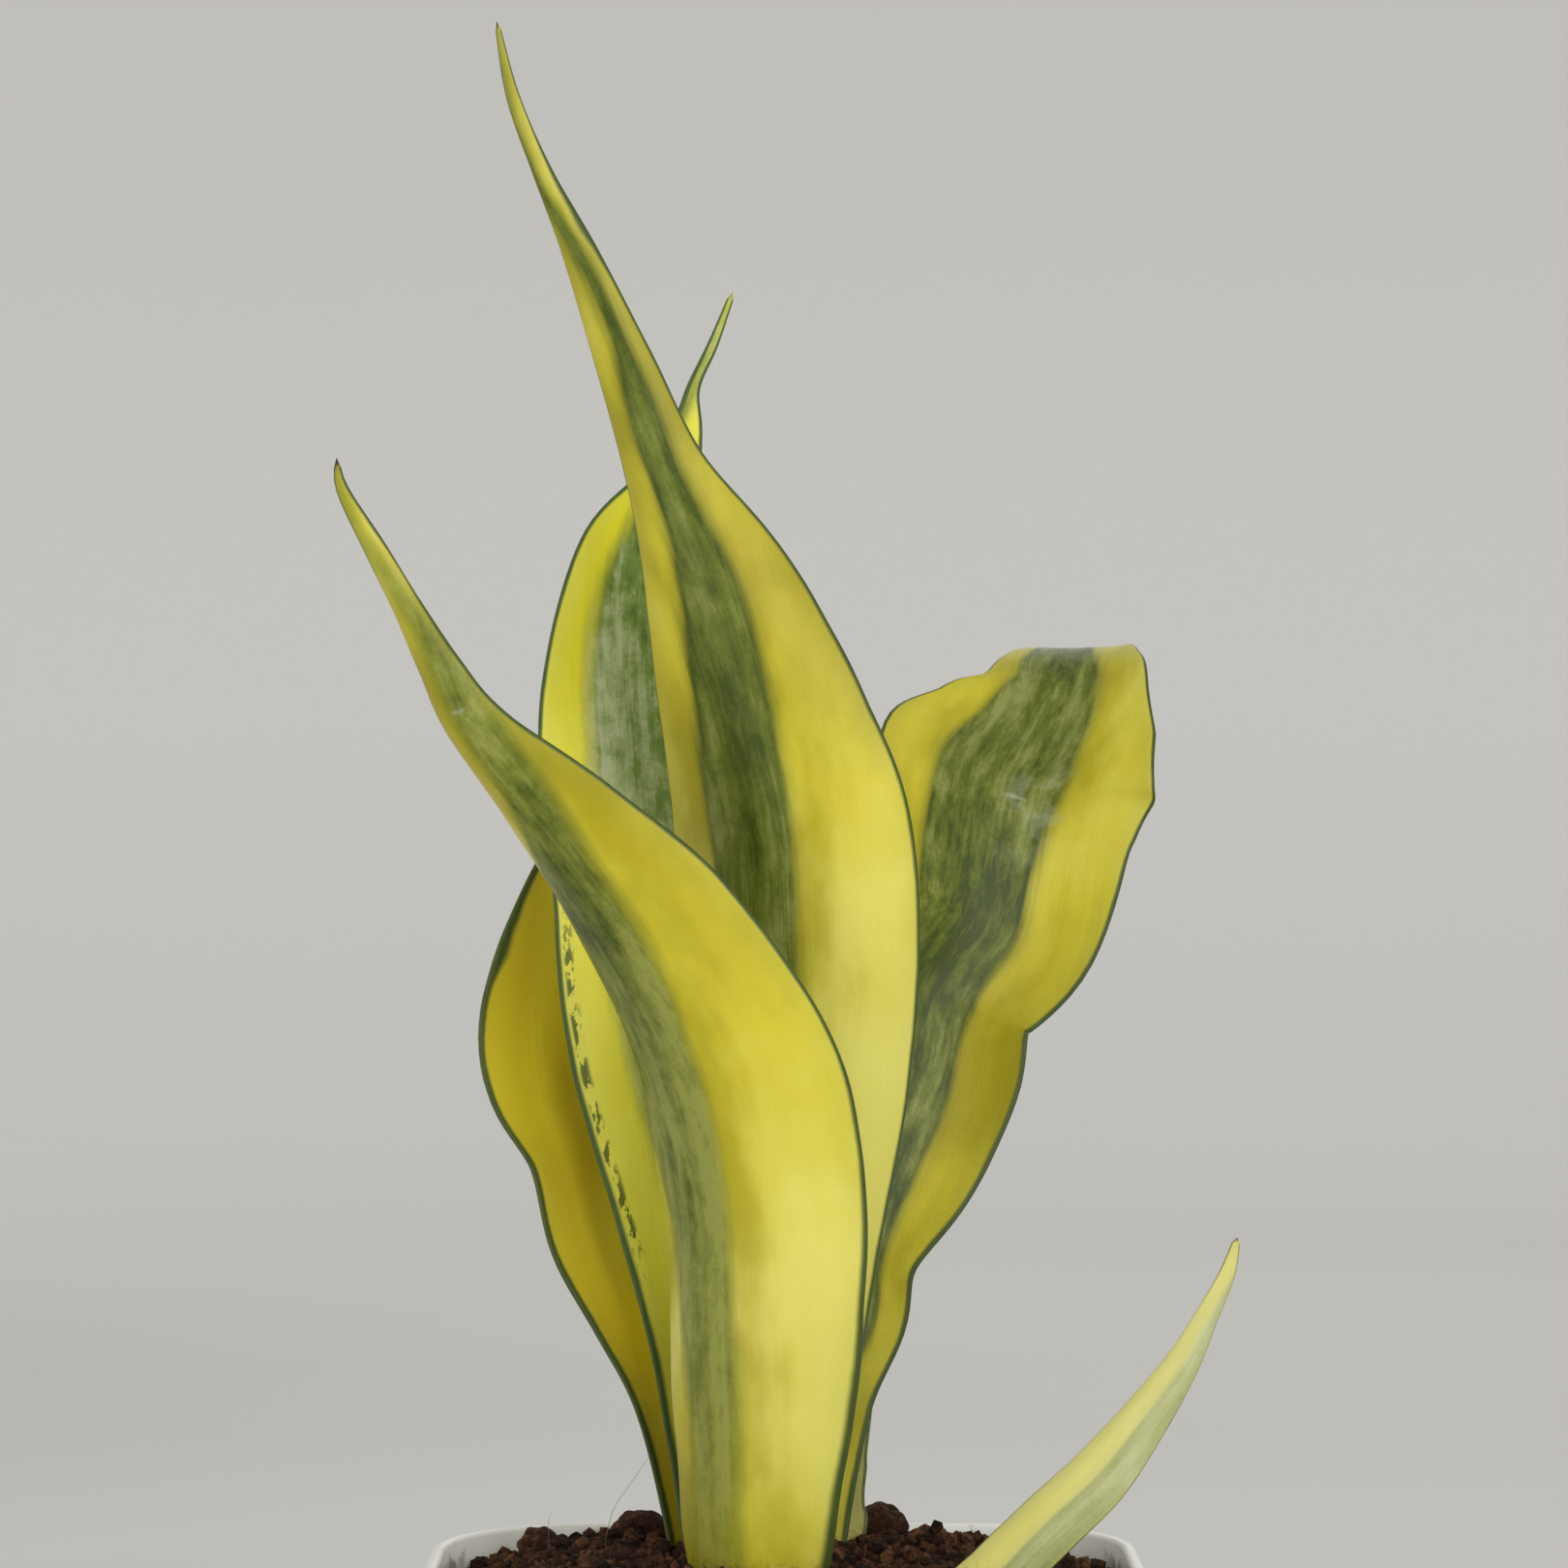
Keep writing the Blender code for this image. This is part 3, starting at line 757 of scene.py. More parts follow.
LOOKS = {
    Look.YELLOW: {},
    # partly the leaf's own deeper gold, partly painted light: brighter yellows and golds to make up for the shade
    # this leaf lies in
    Look.GOLD_LIT: {
        "yellow": paint(234, 216, 52), "gold": paint(220, 194, 16), "cream": paint(234, 222, 92),
        "green": paint(124, 130, 50), "deep": paint(92, 98, 30),
    },
    Look.YOUNG: {
        "deep": paint(132, 142, 84), "green": paint(166, 170, 112), "misty": paint(192, 195, 146),
        "cream": paint(226, 220, 134), "yellow": paint(214, 206, 100), "wander": 0.35, "softness": 0.5,
        "dappling": 0.8, "trough_shading": 0.0, "banding": 0.15,
    },
    Look.SHEATH: {"trough_shading": 0.0, "green": paint(150, 156, 70), "cream": paint(222, 218, 132), "banding": 0.15},
}


@dataclass(frozen=True)
class Blade:
    """One leaf: a cupped, turning strip that tapers from its foot to its tip.

    Station rows hold the middle line's x, y and z above the plant's zero, the
    width, the turn in degrees and the cup's depth. Mark rows hold a station
    position, then the stripe's left and right borders across the leaf (-1 to
    1), the dark line's width at both edges, the warmth of both margins and the
    paleness of the stripe. The margins' warmth is partly their own colour and
    partly painted shade and painted light: it is raised where a margin is to
    look shaded and lowered where one is to look brighter.
    """

    node: str
    look: Look
    stations: tuple[Row, ...]
    marks: tuple[Row, ...]
    wave: float
    wave_length: float
    foot: float = 3.6
    thickness: float = 3.0
    seed: float = 1.0
    spots: tuple[tuple[str, float, float, float, float], ...] = ()  # mark, station, across, reach along and across
    around: int = 60
    pitch: float = 2.0
    extras: dict = field(default_factory=dict)

    EDGE: ClassVar[float] = 1.0  # thickness beside the rim
    TIP: ClassVar[float] = 0.9  # thickness at the tip
    NEAR: ClassVar[float] = 0.02  # step for reading the way the middle line runs
    FINE: ClassVar[int] = 900  # steps for measuring the leaf's length
    GRAIN: ClassVar[float] = 0.42  # depth of the skin's slow unevenness
    FRAY: ClassVar[float] = 0.012  # how far the outline wanders, as a share of the width
    LEAST: ClassVar[int] = 24  # rungs of the shortest leaf
    MARKS: ClassVar[tuple[str, ...]] = (
        "across", "half", "left", "right", "line", "gold", "pale", "face", "dry", "dots", "scar", "shade", "fade",
    )

    def frame(self, position: float) -> tuple[Vector, Vector, Vector, float, float]:
        """The leaf's own axes at a station position.

        Args:
            position: Station number, with a fraction between two.

        Returns:
            The middle point, the sideways and the forward direction, the width and the cup.
        """
        x, y, z, width, turn, cup = blend_rows(self.stations, position)
        last = len(self.stations) - 1
        ahead = Vector(blend_rows(self.stations, min(position + self.NEAR, last))[:3])
        behind = Vector(blend_rows(self.stations, max(position - self.NEAR, 0.0))[:3])
        along = (ahead - behind).normalized()
        side = Vector((math.cos(math.radians(turn)), math.sin(math.radians(turn)), 0.0))
        side = (side - along * side.dot(along)).normalized()
        return Vector((x, y, z)), side, side.cross(along), max(width, 0.7), cup

    def half_thickness(self, position: float, across: float, half: float) -> float:
        """Half the leaf's thickness, thick in the middle and rounded off at its rim.

        Args:
            position: Station number, with a fraction between two.
            across: Place across the leaf, -1 to 1.
            half: Half the leaf's width in millimetres.

        Returns:
            The half thickness, in millimetres.
        """
        share = position / (len(self.stations) - 1)
        middle = self.foot + (self.thickness - self.foot) * smooth_step(share * 2.5)
        middle += (self.TIP - middle) * smooth_step((share - 0.55) / 0.45)
        edge = min(self.EDGE, middle)
        thick = (edge + (middle - edge) * (1 - across * across)) / 2
        roll = min(edge / 2, half * 0.8)
        beyond = max(0.0, (abs(across) * half - (half - roll)) / roll)
        return min(thick, half) * math.sqrt(max(0.0, 1 - beyond * beyond))

    def ladder(self) -> list[float]:
        """Spaces the leaf's cross rows a steady distance apart.

        Returns:
            Their station positions.
        """
        last = len(self.stations) - 1
        fine = [last * k / self.FINE for k in range(self.FINE + 1)]
        points = [Vector(blend_rows(self.stations, p)[:3]) for p in fine]
        runs = [0.0]
        for here, there in zip(points, points[1:]):
            runs.append(runs[-1] + (there - here).length)
        count = max(self.LEAST, round(runs[-1] / self.pitch))
        rungs, index = [], 0
        for k in range(count + 1):
            target = runs[-1] * k / count
            while index < self.FINE - 1 and runs[index + 1] < target:
                index += 1
            step = max(1e-9, runs[index + 1] - runs[index])
            rungs.append(fine[index] + (fine[index + 1] - fine[index]) * min(1.0, (target - runs[index]) / step))
        return rungs

    def build(self) -> bpy.types.Object:
        """Makes the leaf from a grid rolled into a flat tube, with its marks on its points.

        Returns:
            The leaf's object.
        """
        bm = bmesh.new()
        layers = {name: bm.verts.layers.float.new(name) for name in self.MARKS}
        skin = bm.verts.layers.float_vector.new("skin")
        rungs = self.ladder()
        bmesh.ops.create_grid(bm, x_segments=self.around, y_segments=len(rungs) - 1, size=0.5)
        run, before, rows = 0.0, None, []
        for position in rungs:
            centre, side, front, width, cup = self.frame(position)
            run += (centre - before).length if before else 0.0
            before = centre
            rows.append((position, centre, side, front, width / 2, cup, run, read_table(self.marks, position)))
        for vert in bm.verts:
            angle = 2 * math.pi * (vert.co.x + 0.5)
            row = rows[min(len(rows) - 1, round((vert.co.y + 0.5) * (len(rows) - 1)))]
            across, face = -math.cos(angle), math.sin(angle)
            half, run = row[4], row[6]
            vert.co = self.point(row, across, face)
            left, right, line_left, line_right, gold_left, gold_right, pale = row[7]
            weight = smooth_step((across + 1) / 2)
            values = {
                "across": across, "half": half, "left": left, "right": right, "pale": pale, "face": face,
                "line": line_left if across < 0 else line_right,
                # gold mark: the margin's own warmth, partly painted shade and painted light
                "gold": gold_left + (gold_right - gold_left) * weight,
            }
            for mark, station, place, reach, spread in self.spots:
                near = 1 - abs(row[0] - station) / reach
                beside = 1 - abs(across - place) / spread
                if face > -0.05 or mark == "dry":
                    values[mark] = max(values.get(mark, 0.0), smooth_step(near) * smooth_step(beside * 1.5))
            for key, value in values.items():
                vert[layers[key]] = value
            vert[skin] = Vector((across * half * MM, run * MM, self.seed))
        self.close(bm)
        finish = LeafFinish(f"{self.node}_blade_skin", **LOOKS[self.look], **self.extras)
        return make_piece(f"{self.node}_blade", bm, finish, self.node)

    def point(self, row: tuple, across: float, face: float) -> Vector:
        """Where one point of the leaf's skin lies.

        Args:
            row: The leaf's axes and sizes at this height.
            across: Place across the leaf, -1 to 1.
            face: Positive on the front skin and negative on the rear.

        Returns:
            The point, in metres.
        """
        position, centre, side, front, half, cup, run, _ = row
        height = centre.z
        ripple = self.wave * math.sin(2 * math.pi * height / self.wave_length)
        ripple *= smooth_step(half * 2 / 30) * smooth_step((height - 12) / 30)
        rise = cup * (1 - across * across) + ripple * across**3
        slope = -2 * across * cup / max(half, 0.4)
        outward = (front - side * slope).normalized()
        thick = self.half_thickness(position, across, half)
        free = smooth_step((height - 8) / 25) * smooth_step(half / 6)
        grain = noise.noise(Vector((across * half / 11, run / 21, self.seed * 3.1)))
        edge = noise.noise(Vector((across * 2.0, run / 12, self.seed * 5.3)))
        rise += self.GRAIN * grain * free
        reach = across * half * (1 + self.FRAY * edge * free)
        skin = thick if face >= 0 else -thick
        place = centre + side * reach + front * rise + outward * skin
        return Vector((place.x, place.y, place.z + PLANT_ZERO)) * MM

    @staticmethod
    def close(bm: bmesh.types.BMesh) -> None:
        """Joins the tube's seam and draws each open end together to one point.

        Args:
            bm: The leaf's mesh.
        """
        bmesh.ops.remove_doubles(bm, verts=bm.verts, dist=1e-6)
        loose = {vert for edge in bm.edges if edge.is_boundary for vert in edge.verts}
        heights = [vert.co.z for vert in loose]
        waist = (min(heights) + max(heights)) / 2
        for verts in ([v for v in loose if v.co.z < waist], [v for v in loose if v.co.z >= waist]):
            middle = sum((vert.co for vert in verts), Vector()) / len(verts)
            bmesh.ops.pointmerge(bm, verts=verts, merge_co=middle)
        bmesh.ops.dissolve_degenerate(bm, dist=1e-7, edges=bm.edges)


BLADES = (
    Blade(
        "leaf_front", Look.YELLOW,
        stations=(
            (-4, -9, -22, 15, -8, 3.5), (-5, -12, 0, 24, -14, 4.5), (-5, -14, 14, 31, -20, 6.5),
            (-4.5, -15, 29, 35, -24, 8), (-3.5, -17, 55, 42, -28, 10), (-3.5, -19, 79, 45, -31, 11),
            (-10, -22, 109, 47.5, -33, 11), (-25.5, -26, 136, 38.5, -33, 9), (-42.3, -31, 155.5, 27, -30, 6.5),
            (-57.8, -36, 171.5, 15, -26, 4), (-64.5, -39, 182, 9, -20, 2.4), (-70.5, -41, 193, 5.6, -10, 1.2),
            (-76.5, -43, 204, 4.2, 0, 0.7), (-82.5, -45, 215, 2.4, 0, 0.2), (-83.6, -46, 221, 0.8, 0, 0),
        ),
        marks=(
            (0.0, -0.78, -0.05, 0.5, 1.9, 0.9, 0.3, 0.55), (1.8, -0.76, -0.03, 0.5, 1.9, 0.9, 0.2, 0.6),
            (3.1, -0.64, -0.02, 0.4, 1.7, 0.6, 0.1, 0.55), (3.8, -0.66, -0.03, 0.4, 1.4, 0.15, 0.1, 0.55),
            (4.6, -0.84, -0.08, 0.4, 1.1, 0.3, 0.1, 0.6), (5.35, -0.92, -0.06, 0.4, 0.8, 0.4, 0.3, 0.66),
            (6.1, -1.2, 0.0, 0.4, 0.6, 0.4, 0.42, 0.6), (6.75, -1.2, 0.16, 0.4, 0.5, 0.4, 0.7, 0.54),
            (7.1, -1.15, 0.22, 0.4, 0.5, 0.4, 0.75, 0.4), (7.6, -0.95, 0.32, 0.4, 0.5, 0.4, 0.8, 0.38),
            (8.0, -0.42, 0.44, 0.4, 0.5, 0.2, 0.85, 0.34), (8.45, -0.14, 0.64, 0.4, 0.5, 0.15, 0.85, 0.3),
            (9.0, -0.02, 0.86, 0.4, 0.5, 0.6, 0.6, 0.5), (9.85, -0.05, 0.95, 0.4, 0.5, 0.85, 0.5, 0.4),
            (10.6, -0.02, 0.85, 0.35, 0.6, 0.5, 0.5, 0.42), (11.5, -0.35, 0.3, 0.3, 0.4, 0.4, 0.35, 0.45),
            (12.3, -1.1, -0.5, 0.3, 0.7, 0.4, 0.4, 0.4), (14.0, -1.2, -0.8, 0.3, 0.3, 0.5, 0.5, 0.4),
        ),
        wave=0.8, wave_length=52, seed=1.3,
        extras={"softness": 1.9, "dappling": 1.4, "green": paint(112, 121, 42), "misty": paint(150, 155, 74)},
        spots=(("dry", 14.3, 0.0, 1.15, 2.5), ("scar", 9.25, 0.35, 0.22, 0.5), ("fade", 0.5, -0.1, 3.6, 3.0)),
    ),
    Blade(
        "leaf_tall", Look.YELLOW,
        stations=(
            (-3, -2, -22, 13, 0, 3), (-3, -3, 2, 19, -4, 4), (-1, -3, 39, 29, -10, 6), (0.5, -3, 67, 36, -14, 7.5),
            (2.5, -3, 96, 44, -17, 8.5), (3, -3, 125, 48.5, -18, 9), (1.5, -3, 151, 49.5, -18, 9),
            (-3.5, -4, 171, 43, -16, 8), (-12.5, -6, 198, 30.5, -12, 6), (-23, -8, 221, 16.5, -8, 3),
            (-31, -11, 242, 11.5, -8, 2), (-39.5, -15, 263, 6.8, -10, 1.2), (-46.5, -18, 278, 3.8, -10, 0.7),
            (-52, -21, 292, 2.6, -10, 0.4), (-55, -24, 306, 0.8, 0, 0.1),
        ),
        marks=(
            (0.0, -0.6, 0.12, 0.6, 0.9, 0.5, 0.1, 0.5), (2.5, -0.58, 0.12, 0.6, 0.8, 0.5, 0.15, 0.5),
            (4.0, -0.56, 0.12, 0.5, 0.7, 0.55, 0.05, 0.5), (5.3, -0.54, 0.1, 0.5, 0.8, 0.25, 0.2, 0.38),
            (6.1, -0.56, 0.13, 0.5, 0.85, 0.2, 0.42, 0.36), (6.8, -0.56, 0.19, 0.45, 0.85, 0.4, 0.6, 0.26),
            (7.4, -0.53, 0.28, 0.45, 0.8, 0.6, 0.8, 0.16), (7.9, -0.46, 0.36, 0.45, 0.75, 0.55, 0.9, 0.15),
            (8.5, -0.35, 0.38, 0.45, 0.7, 0.5, 0.8, 0.2), (9.0, -0.35, 0.46, 0.45, 0.7, 0.4, 0.7, 0.18),
            (9.4, -0.42, 0.53, 0.4, 0.6, 0.7, 0.85, 0.26), (10.2, -0.12, 0.54, 0.35, 0.6, 0.4, 0.7, 0.12),
            (10.7, -0.05, 0.5, 0.3, 0.6, 0.3, 0.45, 0.12), (11.2, -0.4, 0.2, 0.25, 1.3, 0.3, 0.3, 0.12),
            (11.8, -1.1, -0.25, 0.2, 0.8, 0.4, 0.35, 0.25), (12.6, -1.2, -0.45, 0.2, 0.3, 0.4, 0.3, 0.35),
            (14.0, -1.2, -0.2, 0.2, 0.2, 0.4, 0.3, 0.6),
        ),
        wave=0.8, wave_length=70, seed=2.9, extras={"banding": 0.12, "dappling": 1.25},
    ),
    Blade(
        "leaf_back", Look.YELLOW,
        stations=(
            (-7, 4.5, -22, 13, -4, -3), (-10.5, 5, 5, 17, -4, -4), (-12.5, 7, 31, 21.5, -6, -6),
            (-14, 9, 53, 27, -8, -7), (-17, 11, 74, 33.5, -10, -8), (-20, 13, 96, 40.5, -10, -8),
            (-22.5, 16, 118, 45, -10, -8), (-24, 19, 141, 46.5, -10, -8), (-26, 22, 164, 47.5, -8, -8),
            (-27.3, 25, 186, 42, -8, -7), (-26, 28, 208, 31, -5, -5), (-23, 31, 221, 14, 5, -2.5),
            (-19.6, 34, 233, 6.4, 15, -1), (-18.3, 36, 241, 2.8, 25, -0.4), (-14.5, 40, 250, 2.2, 15, -0.2),
            (-10.5, 44, 261, 1.2, 0, 0),
        ),
        marks=(
            (0.0, -0.5, 0.5, 1.2, 1.2, 0.5, 0.5, 0.5), (4.0, -0.4, 0.5, 0.9, 0.9, 0.25, 0.4, 0.5),
            (5.5, -0.5, 0.5, 0.8, 0.8, 0.2, 0.4, 0.6), (6.5, -0.6, 0.52, 0.7, 0.7, 0.3, 0.4, 0.7),
            (8.0, -0.58, 0.55, 0.6, 0.6, 0.3, 0.45, 0.72), (9.0, -0.6, 0.55, 0.6, 0.6, 0.32, 0.45, 0.5),
            (9.7, -0.6, 0.55, 0.6, 0.6, 0.36, 0.45, 0.3), (10.2, -0.5, 0.5, 0.6, 0.6, 0.4, 0.45, 0.12),
            (11.0, -0.6, 0.3, 0.8, 0.7, 0.5, 0.4, 0.3), (12.0, -1.1, -0.4, 0.8, 0.5, 0.5, 0.3, 0.3),
            (13.0, -0.7, 0.7, 0.5, 0.6, 0.5, 0.4, 0.35), (15.0, -1.2, -0.2, 0.3, 0.2, 0.4, 0.4, 0.6),
        ),
        wave=1.0, wave_length=64, seed=4.1,
        spots=(("dots", 5.2, -0.8, 2.0, 1.2),),
        # painted light: yellow and cream brighter than the plain leaf's, to make up for the shade this leaf lies in
        extras={
            "banding": 0.5, "dappling": 1.1, "trough_shading": 0.1, "softness": 1.8, "deep": paint(70, 96, 38),
            "green": paint(118, 140, 64), "misty": paint(182, 190, 140), "yellow": paint(232, 224, 38),
            "cream": paint(236, 230, 84),
        },
    ),
    Blade(
        "leaf_left", Look.GOLD_LIT,
        stations=(
            (-12, 14, -22, 12, 14, -2.5), (-15.5, 15, 6, 14, 16, -4), (-20, 19.5, 32, 18, 18, -5),
            (-25.5, 24.5, 53, 26.5, 20, -6), (-31.5, 29, 70, 34.5, 20, -7), (-34.5, 32, 86, 37, 18, -8),
            (-38.5, 35, 100, 44.5, 17, -8), (-40, 38, 111, 44.5, 15, -8), (-39, 41, 125, 39.5, 13, -7),
            (-37.5, 44, 140, 29, 10, -5), (-34.5, 47, 156, 15.5, 5, -3), (-31, 50, 177, 1.6, 0, -0.3),
        ),
        marks=(
            (0.0, 0.1, 0.75, 0.9, 0.9, 0.6, 0.6, 0.4), (2.0, 0.12, 0.72, 1.0, 0.9, 0.75, 0.6, 0.4),
            (4.0, 0.15, 0.72, 1.0, 0.9, 0.5, 0.6, 0.4), (5.0, 0.15, 0.72, 1.1, 0.9, 0.6, 0.6, 0.4),
            (6.6, 0.1, 0.7, 0.9, 0.9, 0.65, 0.6, 0.4), (7.4, 0.05, 0.68, 1.2, 0.9, 0.65, 0.6, 0.4),
            (7.9, 0.0, 0.66, 2.6, 0.9, 0.6, 0.6, 0.4), (8.6, 0.0, 0.64, 1.6, 0.9, 0.6, 0.6, 0.4),
            (9.4, -0.1, 0.6, 0.8, 0.8, 0.6, 0.6, 0.4), (11.0, -0.4, 0.4, 0.5, 0.5, 0.6, 0.6, 0.5),
        ),
        wave=1.6, wave_length=46, seed=6.7,
        # painted shade: the shadow beside the edge of the leaf in front
        spots=(("shade", 5.6, -0.02, 3.6, 0.5),),
    ),
    Blade(
        "leaf_right", Look.YELLOW,
        stations=(
            (4.2, 9.5, -22, 11, 18, -3), (5.5, 13, 5, 13.6, 20, -4), (7.8, 16, 35, 20.6, 20, -5),
            (12.5, 18, 53, 26, 20, -5.5), (15, 20, 67, 26.5, 20, -6), (22.5, 23.5, 85, 36.5, 19, -7),
            (29.5, 28, 103, 40, 18, -8), (33, 32, 118, 39, 17, -8), (42.5, 36, 133, 46.5, 16, -8),
            (46.2, 43, 154, 54, 12, -8), (48.8, 50, 165.5, 58, 5, -7), (54.6, 60, 175, 48.5, -5, -5),
            (58.6, 68, 182, 37, -11, -2.5),
            (60.5, 77, 186.7, 31, -14, -1), (63, 88, 189, 23, -14, -0.5), (65.5, 99, 186, 15, -12, -0.5),
            (67.5, 109, 179.5, 7, -8, -0.3), (68.5, 115, 173, 1.2, 0, 0),
        ),
        marks=(
            (0.0, -0.5, 0.2, 1.0, 0.7, 0.5, 0.4, 0.3), (2.0, -0.3, 0.42, 0.9, 0.7, 0.4, 0.4, 0.2),
            (3.2, -0.2, 0.6, 0.9, 0.8, 0.4, 0.45, 0.15), (4.05, -0.3, 0.52, 0.9, 0.8, 0.4, 0.5, 0.15),
            (4.6, -0.5, 0.44, 0.8, 0.8, 0.5, 0.6, 0.15), (5.1, -0.6, 0.42, 0.8, 0.8, 0.5, 0.7, 0.2),
            (5.7, -0.7, 0.4, 0.7, 0.8, 0.5, 0.95, 0.22), (6.2, -0.7, 0.36, 0.7, 0.8, 0.5, 1.0, 0.22),
            (7.0, -0.72, 0.48, 0.7, 0.8, 0.6, 0.95, 0.2), (7.7, -0.72, 0.4, 0.6, 0.7, 0.7, 0.65, 0.2),
            (8.4, -0.7, 0.36, 0.5, 0.6, 0.8, 0.45, 0.24), (9.5, -0.6, 0.36, 0.5, 0.5, 0.6, 0.36, 0.42),
            (10.8, -0.59, 0.37, 0.5, 0.5, 0.6, 0.36, 0.44), (12.4, -0.63, 0.43, 0.5, 0.5, 0.55, 0.36, 0.48),
            (14.0, -0.66, 0.36, 0.5, 0.4, 0.55, 0.45, 0.42), (17.0, -0.7, 0.2, 0.4, 0.4, 0.6, 0.5, 0.5),
        ),
        wave=0.6, wave_length=58, seed=8.3,
        spots=(("scar", 9.5, 0.2, 1.2, 0.3),),
        extras={"banding": 0.2, "wander": 2.4, "dappling": 1.9},
    ),
    Blade(
        "leaf_small", Look.YOUNG,
        stations=(
            (28, -17, -20, 8, -18, 1.2), (33, -24, 0, 12, -24, 2), (41.3, -27, 9.5, 13.3, -25, 2.3),
            (50.3, -28, 18.5, 13.3, -25, 2.5), (60, -29, 28, 12.2, -22, 2.3), (68.4, -30, 39, 9.4, -20, 1.8),
            (75.7, -31, 50, 6.4, -15, 1.2), (80.5, -31.5, 59.5, 4.2, -10, 0.7), (84, -32, 67, 3, 0, 0.4),
            (86, -32, 74, 1.2, 0, 0.1),
        ),
        marks=(
            (0.0, 0.1, 0.9, 0.5, 0.3, 0.4, 0.4, 0.3), (2.3, 0.12, 0.94, 0.6, 0.25, 0.2, 0.4, 0.3),
            (3.2, 0.08, 0.94, 0.55, 0.2, 0.1, 0.35, 0.4), (4.2, 0.05, 0.95, 0.3, 0.2, 0.1, 0.3, 0.62),
            (5.2, 0.02, 0.96, 0.2, 0.2, 0.08, 0.3, 0.7), (6.4, 0.12, 0.97, 0.15, 0.2, 0.05, 0.3, 0.75),
            (7.6, 0.25, 0.9, 0.15, 0.2, 0.1, 0.3, 0.8), (8.3, 0.9, 1.0, 0.2, 0.2, 0.3, 0.3, 0.7),
            (9.0, 1.2, 1.3, 0.2, 0.2, 0.5, 0.5, 0.6),
        ),
        wave=0.15, wave_length=30, foot=2.8, thickness=2.2, seed=10.9, around=44, pitch=1.2,
        spots=(("dry", 9.35, 0.0, 0.75, 2.5),),
    ),
    Blade(
        "sheath", Look.SHEATH,
        stations=(
            (-4, 18, -22, 24, 0, -4.5), (-4, 21, 0, 37, 0, -7), (-2.8, 23.5, 9, 38, 0, -7.5),
            (0.4, 26, 20, 35.5, 0, -7), (6, 27.5, 29, 26, 0, -5), (12, 28.5, 37, 13.5, 0, -2.5),
            (15.5, 29, 44, 1.6, 0, 0),
        ),
        marks=(
            (0.0, -0.3, 0.3, 0.5, 0.5, 0.2, 0.2, 0.6), (3.0, -0.25, 0.2, 0.4, 0.5, 0.15, 0.1, 0.7),
            (5.0, -0.2, 0.2, 0.3, 0.4, 0.15, 0.15, 0.7), (6.0, -0.1, 0.1, 0.3, 0.3, 0.4, 0.4, 0.6),
        ),
        wave=0.4, wave_length=26, foot=2.2, thickness=1.5, seed=12.7, around=48, pitch=1.6,
        spots=(("dry", 6.1, 0.0, 0.5, 2.5),),
    ),
)


# ---------------------------------------------------------------- pot and soil


